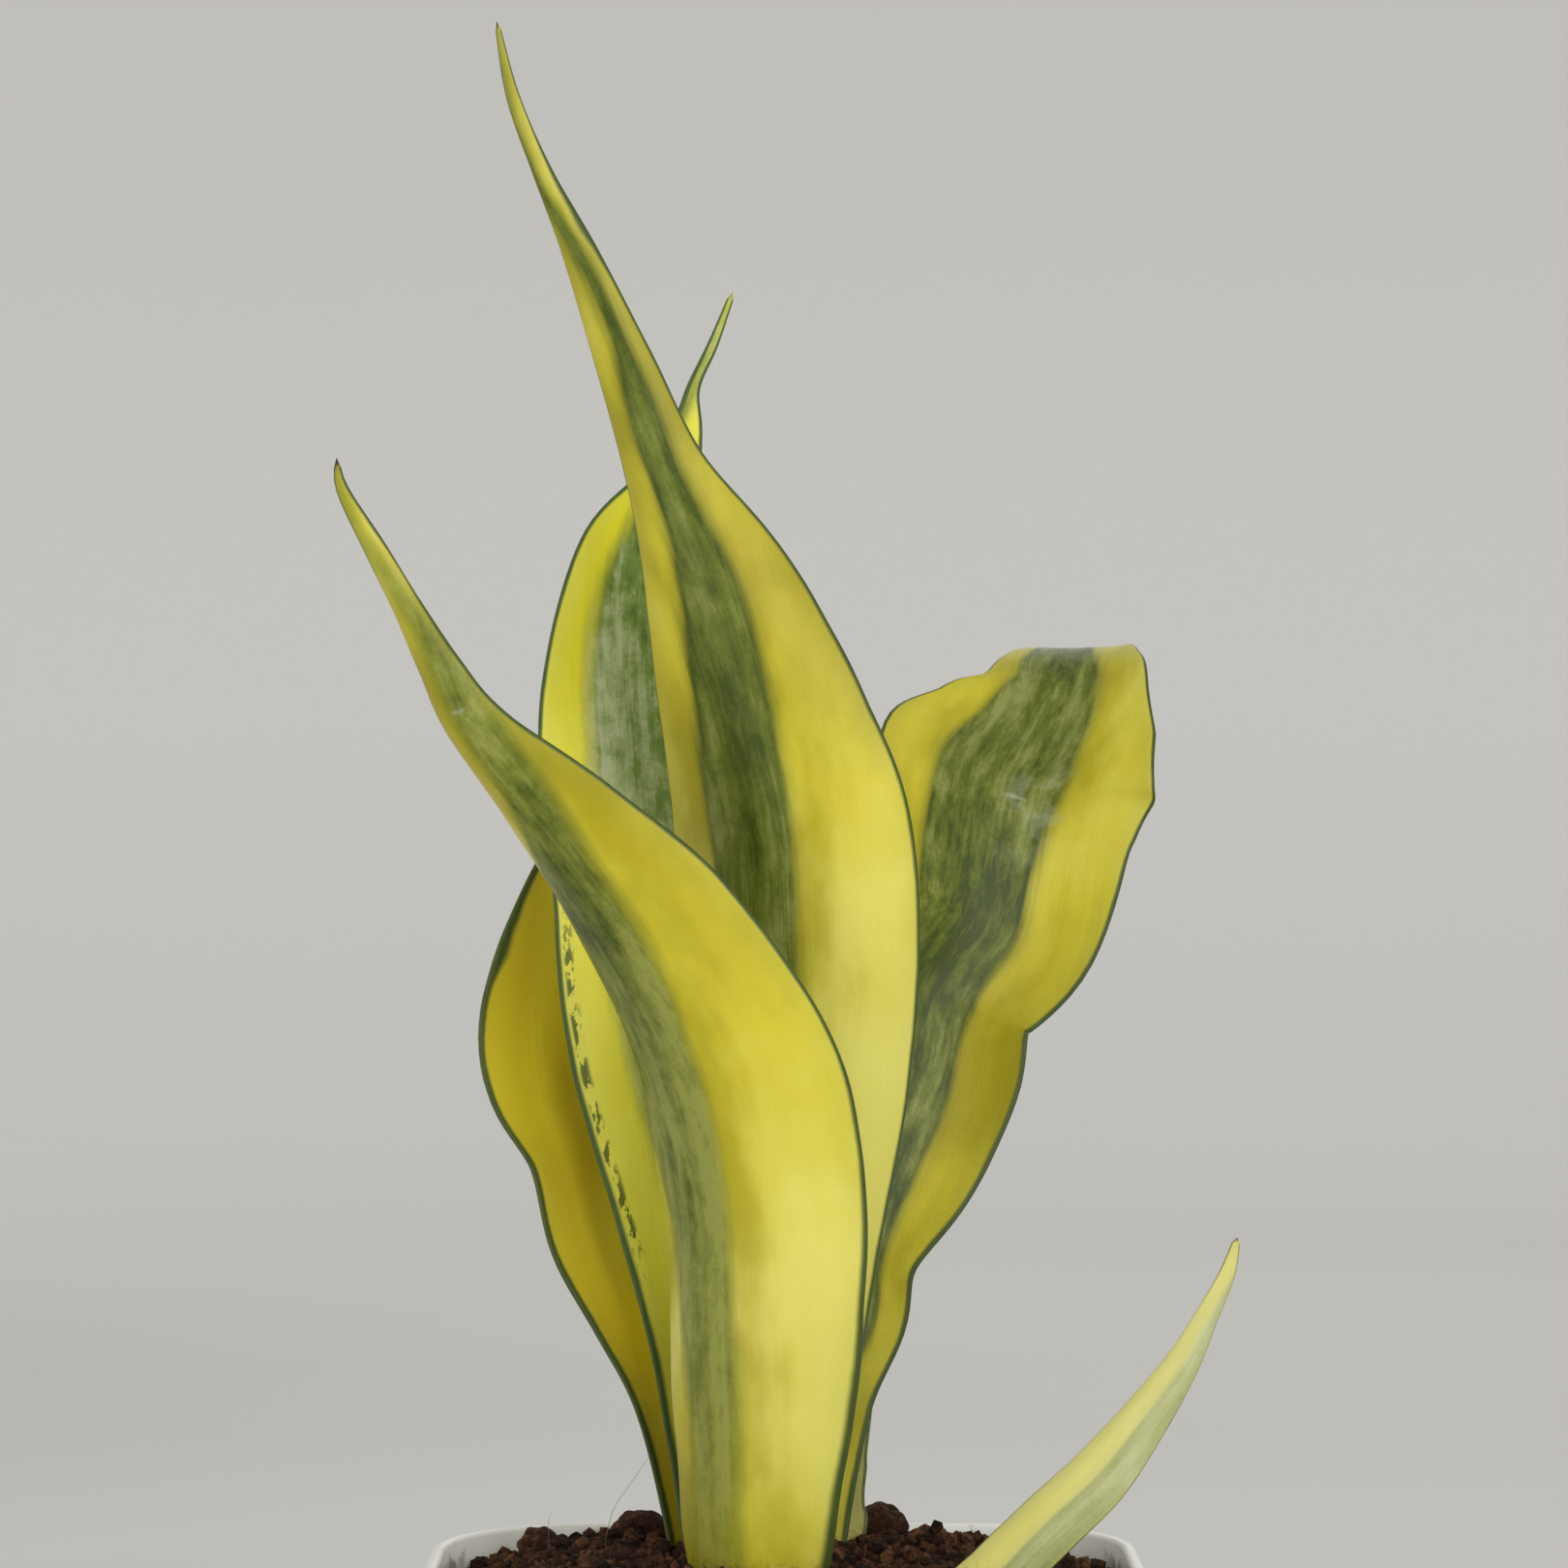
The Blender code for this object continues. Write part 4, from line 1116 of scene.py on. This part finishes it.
@dataclass(frozen=True)
class Pot:
    """Tapered rounded-square pot, with a rounded rim and drain holes."""

    width: float = 144.0
    height: float = 130.0
    corner: float = 31.0
    base_ratio: float = 0.76
    wall: float = 2.6
    floor: float = 4.0
    rim_round: float = 1.0
    base_round: float = 2.5
    drain: float = 9.0
    drain_circle: float = 27.0
    drains: int = 4
    drain_segments: int = 28
    segments: int = 176
    crease: float = 50.0  # degrees past which an edge is shaded sharp

    def outline(self, share: float, width: float, radius: float, height: float) -> Vector:
        """A point of a rounded square.

        Args:
            share: Share of the way round.
            width: Width across the flats, in millimetres.
            radius: Corner radius, in millimetres.
            height: Height, in millimetres.

        Returns:
            The point, in metres.
        """
        flat, arc = width - 2 * radius, math.pi / 2 * radius
        quarter = share * 4 + 0.5
        turn = math.floor(quarter)
        run = (quarter - turn) * (flat + arc)
        if run < flat:
            x, y = width / 2, run - flat / 2
        else:
            angle = (run - flat) / radius
            x, y = flat / 2 + radius * math.cos(angle), flat / 2 + radius * math.sin(angle)
        spot = Matrix.Rotation(turn * math.pi / 2, 3, "Z") @ Vector((x, y, height))
        return spot * MM

    def width_at(self, height: float) -> float:
        """Outside width at a height, in millimetres."""
        return self.width * (self.base_ratio + (1 - self.base_ratio) * height / self.height)

    def ring(self, height: float, inset: float = 0.0) -> Outline:
        """The wall's outline at a height.

        Args:
            height: Height, in millimetres.
            inset: How far inside the wall's outer face it lies.

        Returns:
            A function from a share of the way round to the outline's point.
        """
        width = self.width_at(height)
        radius = self.corner * width / self.width - inset
        return lambda share: self.outline(share, width - 2 * inset, radius, height)

    def rings(self) -> list[tuple[float, float]]:
        """Follows the pot's wall from the base's edge, up the outside, over the rim and down inside.

        Returns:
            Heights and insets, in millimetres.
        """
        arc = [math.pi / 2 * k / 6 for k in range(7)]
        rings = [(self.base_round * (1 - math.cos(a)), self.base_round * (1 - math.sin(a))) for a in arc]
        rings += [(self.height * k / 12, 0.0) for k in range(1, 12)]
        lip = [(self.height - self.rim_round * (1 - math.sin(a)), self.rim_round * (1 - math.cos(a))) for a in arc]
        rings += lip
        rings += [(height, self.wall - inset) for height, inset in reversed(lip)]
        rings += [(self.height * k / 12, self.wall) for k in range(11, 0, -1)]
        foot = [(self.floor + 3 * (1 - math.sin(a)), self.wall + 2 * (1 - math.cos(a))) for a in arc]
        return rings + [r for r in foot if r[0] < self.height / 12 - 0.5]

    def build(self) -> bpy.types.Object:
        """Sweeps the wall ring by ring and fills base and floor around the drain holes.

        Returns:
            The pot's object.
        """
        bm = bmesh.new()
        key = bm.verts.layers.float.new("share")
        inside = bm.verts.layers.float.new("inside")
        rings = self.rings()
        outer = start_ring(bm, self.segments, self.ring(*rings[0]), key)
        inner = sweep(bm, outer, [self.ring(*r) for r in rings[1:]], key)
        holes = [[], []]
        for level, height in enumerate((0.0, self.floor)):
            for k in range(self.drains):
                angle = 2 * math.pi * (k + 0.5) / self.drains
                middle = Vector((math.cos(angle), math.sin(angle), 0)) * self.drain_circle
                spot = Matrix.Translation((middle + Vector((0, 0, height))) * MM)
                radius = self.drain / 2 * MM
                made = bmesh.ops.create_circle(
                    bm, cap_ends=False, segments=self.drain_segments, radius=radius, matrix=spot,
                )
                holes[level].append(list({edge for vert in made["verts"] for edge in vert.link_edges}))
        for edges, level in ((outer, 0), (inner, 1)):
            bmesh.ops.triangle_fill(bm, use_beauty=True, use_dissolve=False, edges=edges + sum(holes[level], []))
        for low, high in zip(*holes):
            bmesh.ops.bridge_loops(bm, edges=low + high)
        for vert in bm.verts:
            vert[inside] = float(self.is_inside(vert.co / MM))
        piece = make_piece("pot_shell", bm, PotFinish("pot_satin"), "pot")
        piece.data.set_sharp_from_angle(angle=math.radians(self.crease))
        return piece

    def is_inside(self, spot: Vector) -> bool:
        """Tells the pot's inner face from its outer one.

        Args:
            spot: A point of the pot, in millimetres.

        Returns:
            Whether it lies inside the wall and above the floor.
        """
        limit = self.width_at(spot.z) / 2 - self.wall * 0.75
        x, y = abs(spot.x), abs(spot.y)
        past = Vector((max(0.0, x - (limit - self.corner)), max(0.0, y - (limit - self.corner))))
        return max(x, y) < limit and past.length < self.corner and spot.z > self.floor * 0.9


@dataclass(frozen=True)
class SoilBed:
    """Mounded potting soil: a lumpy surface, and loose crumbs on it."""

    pot: Pot
    below_rim: float = 5.0
    mound: float = 7.5
    dip: float = 1.5
    gap: float = 0.3  # air between soil and pot
    foot: float = 2.3  # how much narrower the soil is at the floor's rounded corner
    levels: Row = (120.0, 90.0, 60.0, 30.0, 9.0)  # heights of the rings down its side
    swell: float = 1.5
    swell_size: float = 13.0
    grains: tuple[Row, ...] = ((8.5, 1.3, 2.0), (4.2, 2.9, 1.25), (2.1, 4.7, 0.7))  # size, seed and depth of lumps
    cells: int = 190
    batches: int = 60
    batch_size: int = 70
    seed: int = 41

    def reach(self) -> float:
        """Half the width of the soil at its surface, in millimetres."""
        return self.pot.width_at(self.pot.height - self.below_rim) / 2 - self.pot.wall - self.gap

    def mean(self, share: float) -> float:
        """Height of the surface without its lumps, at a share of the way to the wall."""
        return self.pot.height - self.below_rim + self.mound * smooth_step((1 - share) / 0.55)

    def height(self, x: float, y: float, share: float) -> float:
        """Height of the surface in millimetres.

        Args:
            x: Place to the right, in millimetres.
            y: Place away from the viewer, in millimetres.
            share: Share of the way from the middle to the wall.

        Returns:
            The height above the ground.
        """
        spot = Vector((x, y, 0))
        free = 1 - share**10
        rough = self.swell * noise.noise(spot / self.swell_size)
        rough += sum(depth * (lumps(spot, size, seed) - 0.5) for size, seed, depth in self.grains)
        return self.mean(share) + rough * free - self.dip * share**8

    def spread(self, a: float, b: float) -> tuple[float, float, float]:
        """Maps a square's point to the rounded square that the soil fills.

        Args:
            a: Place from -1 to 1.
            b: Place from -1 to 1.

        Returns:
            X and Y in millimetres, and the share of the way to the wall.
        """
        share = max(abs(a), abs(b))
        if share < 1e-9:
            return 0.0, 0.0, 0.0
        reach = self.reach()
        radius = self.pot.corner - self.pot.wall - self.gap
        core = reach - radius
        x, y = a / share * reach, b / share * reach
        over = Vector((max(0.0, abs(x) - core), max(0.0, abs(y) - core)))
        if over.x > 0 and over.y > 0:
            over = over.normalized() * radius
            x, y = math.copysign(core + over.x, x), math.copysign(core + over.y, y)
        return x * share, y * share, share

    def surface(self, finish: SoilFinish) -> bpy.types.Object:
        """Makes the soil: a lumpy top, and sides that follow the pot's wall down to its floor.

        Args:
            finish: The soil's finish.

        Returns:
            The soil's object.
        """
        bm = bmesh.new()
        tone = bm.verts.layers.float.new("tone")
        bmesh.ops.create_grid(bm, x_segments=self.cells, y_segments=self.cells, size=1.0)
        for vert in bm.verts:
            x, y, share = self.spread(vert.co.x, vert.co.y)
            height = self.height(x, y, share)
            # painted shade: the lower the surface, the darker its tone, so hollows and the soil by the wall are
            # darker
            vert[tone] = 0.42 + 0.05 * (height - self.pot.height)
            vert.co = Vector((x, y, height)) * MM
        edges = [edge for edge in bm.edges if edge.is_boundary]
        top = self.reach()
        for height in (*self.levels, self.pot.floor + self.gap):
            edges, verts = extrude_rim(bm, edges)
            width = self.pot.width_at(height) / 2 - self.pot.wall - self.gap
            if height < self.pot.floor + self.pot.base_round:
                width -= self.foot
            for vert in verts:
                vert.co = Vector((vert.co.x * width / top, vert.co.y * width / top, height * MM))
            top = width
        bmesh.ops.holes_fill(bm, edges=edges, sides=0)
        return make_piece("soil_bed", bm, finish, "soil")

    def scatter(self, finish: SoilFinish) -> bpy.types.Object:
        """Strews small angular crumbs over the soil.

        Args:
            finish: The soil's finish.

        Returns:
            The crumbs' object.
        """
        dice = random.Random(self.seed)
        bm = bmesh.new()
        bm.verts.layers.float.new("tone")
        batch = bpy.data.meshes.new("crumb_batch")
        for _ in range(self.batches):
            part = bmesh.new()
            tone = part.verts.layers.float.new("tone")
            for _ in range(self.batch_size):
                self.crumb(part, tone, dice)
            part.to_mesh(batch)
            part.free()
            bm.from_mesh(batch)
        bpy.data.meshes.remove(batch)
        return make_piece("soil_crumbs", bm, finish, smooth=False)

    def crumb(self, bm: bmesh.types.BMesh, tone: bmesh.types.BMLayerItem, dice: random.Random) -> None:
        """Adds one crumb where the dice put it.

        Args:
            bm: The mesh to add it to.
            tone: The vertex layer that takes its shade.
            dice: The run's random numbers.
        """
        x, y, share = self.spread(dice.uniform(-0.985, 0.985), dice.uniform(-0.985, 0.985))
        size = 0.55 + 1.5 * dice.random() ** 2.6
        sink = dice.uniform(-0.1, 0.5) * size
        spot = Vector((x, y, self.height(x, y, share) + sink))
        turn = Matrix.Rotation(dice.uniform(0, math.tau), 4, Vector((dice.gauss(0, 1), dice.gauss(0, 1), 1)))
        shape = Matrix.Diagonal((size * dice.uniform(0.8, 1.3), size * dice.uniform(0.8, 1.2), size * 0.85, 1))
        place = Matrix.Scale(MM, 4) @ Matrix.Translation(spot) @ turn @ shape
        shade = dice.uniform(0.2, 0.78)
        for vert in bmesh.ops.create_icosphere(bm, subdivisions=1, radius=1.0, matrix=place)["verts"]:
            vert.co += Vector((dice.uniform(-1, 1), dice.uniform(-1, 1), dice.uniform(-1, 1))) * size * 0.2 * MM
            vert[tone] = shade


@dataclass(frozen=True)
class Clod:
    """One larger lump of soil, partly sunk into the bed."""

    name: str
    x: float
    y: float
    width: float
    depth: float
    height: float
    seed: int

    def build(self, bed: SoilBed, finish: SoilFinish) -> bpy.types.Object:
        """Makes the lump from a finely divided ball, pushed in and out by its grains.

        Args:
            bed: The soil that it lies in.
            finish: The soil's finish.

        Returns:
            The lump's object.
        """
        bm = bmesh.new()
        tone = bm.verts.layers.float.new("tone")
        bmesh.ops.create_icosphere(bm, subdivisions=5, radius=1.0)
        share = max(abs(self.x), abs(self.y)) / (bed.pot.width / 2 - bed.pot.wall)
        base = bed.mean(share) + self.height * 0.2
        for vert in bm.verts:
            direction = vert.co.normalized()
            size = Vector((self.width / 2, self.depth / 2, self.height / 2))
            flat = Vector((direction.x * size.x, direction.y * size.y, direction.z * size.z))
            bump = 1 + 0.16 * noise.noise(direction * 1.7 + Vector((self.seed, 0, 0)))
            grains = 0.9 * (lumps(flat, 3.4, self.seed) - 0.6) + 0.55 * (lumps(flat, 1.7, self.seed + 3.0) - 0.6)
            vert.co = (flat * bump + direction * grains + Vector((self.x, self.y, base))) * MM
            # painted shade: darker tone in the cracks between the lump's grains
            vert[tone] = 0.45 + 0.25 * grains
        return make_piece(f"{self.name}_lump", bm, finish, self.name)


CLODS = (
    Clod("clod_right", 19.0, 36.0, 12.5, 11.0, 10.0, 3),
    Clod("clod_left", -29.0, 35.0, 11.5, 9.0, 8.0, 5),
    Clod("clod_far", -50.0, 43.0, 8.5, 7.0, 6.5, 8),
    Clod("clod_near", -30.0, -34.0, 10.0, 9.0, 6.5, 11),
)


@dataclass(frozen=True)
class Fibre:
    """One stiff peat hair that stands up out of the soil."""

    name: str
    points: tuple[tuple[float, float, float], ...]
    thick: float = 0.13
    steps: int = 22

    def build(self) -> bpy.types.Object:
        """Sweeps a small ring along the hair's bend.

        Returns:
            The hair's object.
        """
        bm = bmesh.new()
        key = bm.verts.layers.float.new("share")
        last = len(self.points) - 1
        spots = [Vector(blend_rows(self.points, last * k / self.steps)) for k in range(self.steps + 1)]
        along = (spots[-1] - spots[0]).normalized()
        side = along.orthogonal().normalized()
        up = along.cross(side)

        def ring(index: int) -> Outline:
            """Outline of the hair at one of its points."""
            radius = self.thick / 2 * (1 - 0.6 * index / self.steps)

            def spot(share: float) -> Vector:
                """Point of the outline at a share of the way round."""
                angle = share * math.tau
                return (spots[index] + (side * math.cos(angle) + up * math.sin(angle)) * radius) * MM

            return spot

        first = start_ring(bm, 8, ring(0), key)
        sweep(bm, first, [ring(k) for k in range(1, self.steps + 1)], key)
        bmesh.ops.holes_fill(bm, edges=[edge for edge in bm.edges if edge.is_boundary], sides=0)
        return make_piece(self.name, bm, FibreFinish(f"{self.name}_dry"))


FIBRES = (
    Fibre("fibre_long", ((-36.5, 24, 131), (-34.5, 24, 139.5), (-31, 24.5, 145), (-26, 25, 152))),
    Fibre("fibre_short", ((-47.5, 30, 131), (-47.7, 30, 136), (-47.2, 30.4, 138.5)), 0.1),
)


# ---------------------------------------------------------------- plant


@dataclass(frozen=True)
class SnakePlant:
    """The whole object: pot, soil, lumps, hairs, roots and leaves."""

    pot: Pot = Pot()
    blades: tuple[Blade, ...] = BLADES
    clods: tuple[Clod, ...] = CLODS
    fibres: tuple[Fibre, ...] = FIBRES

    def build(self, nodes: dict[str, bpy.types.Object]) -> list[bpy.types.Object]:
        """Builds every piece and dresses the one carried-over node.

        Args:
            nodes: The frame's nodes by name.

        Returns:
            The new pieces.
        """
        made = [self.pot.build()]
        bed = SoilBed(self.pot)
        made += [bed.surface(SoilFinish("soil_bed_shaded")), bed.scatter(SoilFinish("soil_crumb"))]
        made += [clod.build(bed, SoilFinish(f"{clod.name}_soil")) for clod in self.clods]
        made += [fibre.build() for fibre in self.fibres]
        made += [blade.build() for blade in self.blades]
        rhizome = nodes["rhizome"]
        if not rhizome.material_slots:
            rhizome.data.materials.append(None)
        for slot in rhizome.material_slots:
            slot.material = RootFinish("root_fibre").material()
        return made


# ---------------------------------------------------------------- studio


@dataclass(frozen=True)
class Lamp:
    """A soft square light that faces a point."""

    name: str
    place: tuple[float, float, float]
    target: tuple[float, float, float]
    size: float
    power: float
    tint: tuple[float, float, float] = (1.0, 1.0, 1.0)

    def build(self) -> None:
        """Adds the light."""
        data = bpy.data.lights.new(self.name, "AREA")
        data.shape, data.size, data.energy, data.color = "SQUARE", self.size, self.power, self.tint
        lamp = bpy.data.objects.new(self.name, data)
        lamp.location = self.place
        facing = Vector(self.target) - Vector(self.place)
        lamp.rotation_euler = facing.to_track_quat("-Z", "Y").to_euler()
        lamp.visible_camera = False
        bpy.context.scene.collection.objects.link(lamp)


@dataclass(frozen=True)
class Studio:
    """Seamless pale grey paper all round, soft lights and the camera."""

    floor: float = 2.3
    curve: float = 0.8
    wall: float = 0.5
    curve_steps: int = 16
    spokes: int = 96
    sky: float = 0.5
    lens: float = 111.111
    eye: tuple[float, float, float] = (0.0, -0.95, 0.286)
    lamps: tuple[Lamp, ...] = (
        Lamp("key", (0.8, -1.4, 0.75), (0, 0, 0.22), 1.1, 15.5, (1.0, 0.99, 0.97)),
        Lamp("fill", (-1.3, -1.2, 0.5), (0, 0, 0.22), 1.1, 8.0),
        Lamp("back", (0.4, 1.6, 1.0), (0, 0, 0.22), 1.1, 2.5),
    )

    def build(self) -> None:
        """Builds the paper, the sky, the lights and the camera."""
        self.paper()
        world = bpy.data.worlds.new("studio_air")
        world.use_nodes = True
        air = world.node_tree.nodes["Background"]
        air.inputs["Color"].default_value = (1.0, 1.0, 0.99, 1.0)
        air.inputs["Strength"].default_value = self.sky
        scene = bpy.context.scene
        scene.world = world
        scene.view_settings.view_transform = "Standard"
        scene.view_settings.look = "None"
        for lamp in self.lamps:
            lamp.build()
        data = bpy.data.cameras.new("camera")
        data.sensor_width, data.lens = 36.0, self.lens
        data.clip_start, data.clip_end = 0.05, 20.0
        camera = bpy.data.objects.new("camera", data)
        camera.location, camera.rotation_euler = self.eye, (math.pi / 2, 0.0, 0.0)
        scene.collection.objects.link(camera)
        scene.camera = camera

    def paper(self) -> None:
        """Spins a floor that sweeps up into a wall on every side."""
        bm = bmesh.new()
        path = [(self.floor * k / 6, 0.0) for k in range(7)]
        for k in range(1, self.curve_steps + 1):
            angle = math.pi / 2 * k / self.curve_steps
            path.append((self.floor + self.curve * math.sin(angle), self.curve * (1 - math.cos(angle))))
        path += [(self.floor + self.curve, self.curve + self.wall * k / 3) for k in (1, 2, 3)]
        verts = [bm.verts.new((x, 0.0, z)) for x, z in path]
        edges = [bm.edges.new(pair) for pair in zip(verts, verts[1:])]
        bmesh.ops.spin(
            bm, geom=verts + edges, cent=(0, 0, 0), axis=(0, 0, 1), angle=math.tau, steps=self.spokes, use_merge=True,
        )
        bmesh.ops.remove_doubles(bm, verts=bm.verts, dist=1e-5)
        make_object("paper", bm, BackdropFinish("studio_paper"), inwards=True)


def main() -> None:
    """Loads the frame, builds the plant and the studio, and logs each piece's face count."""
    logging.basicConfig(level=logging.INFO, format="%(name)s %(message)s")
    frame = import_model()
    for piece in SnakePlant().build(frame["nodes"]):
        LOG.info("%s: %d faces", piece.name, len(piece.data.polygons))
    Studio().build()


if __name__ == "__main__":
    main()
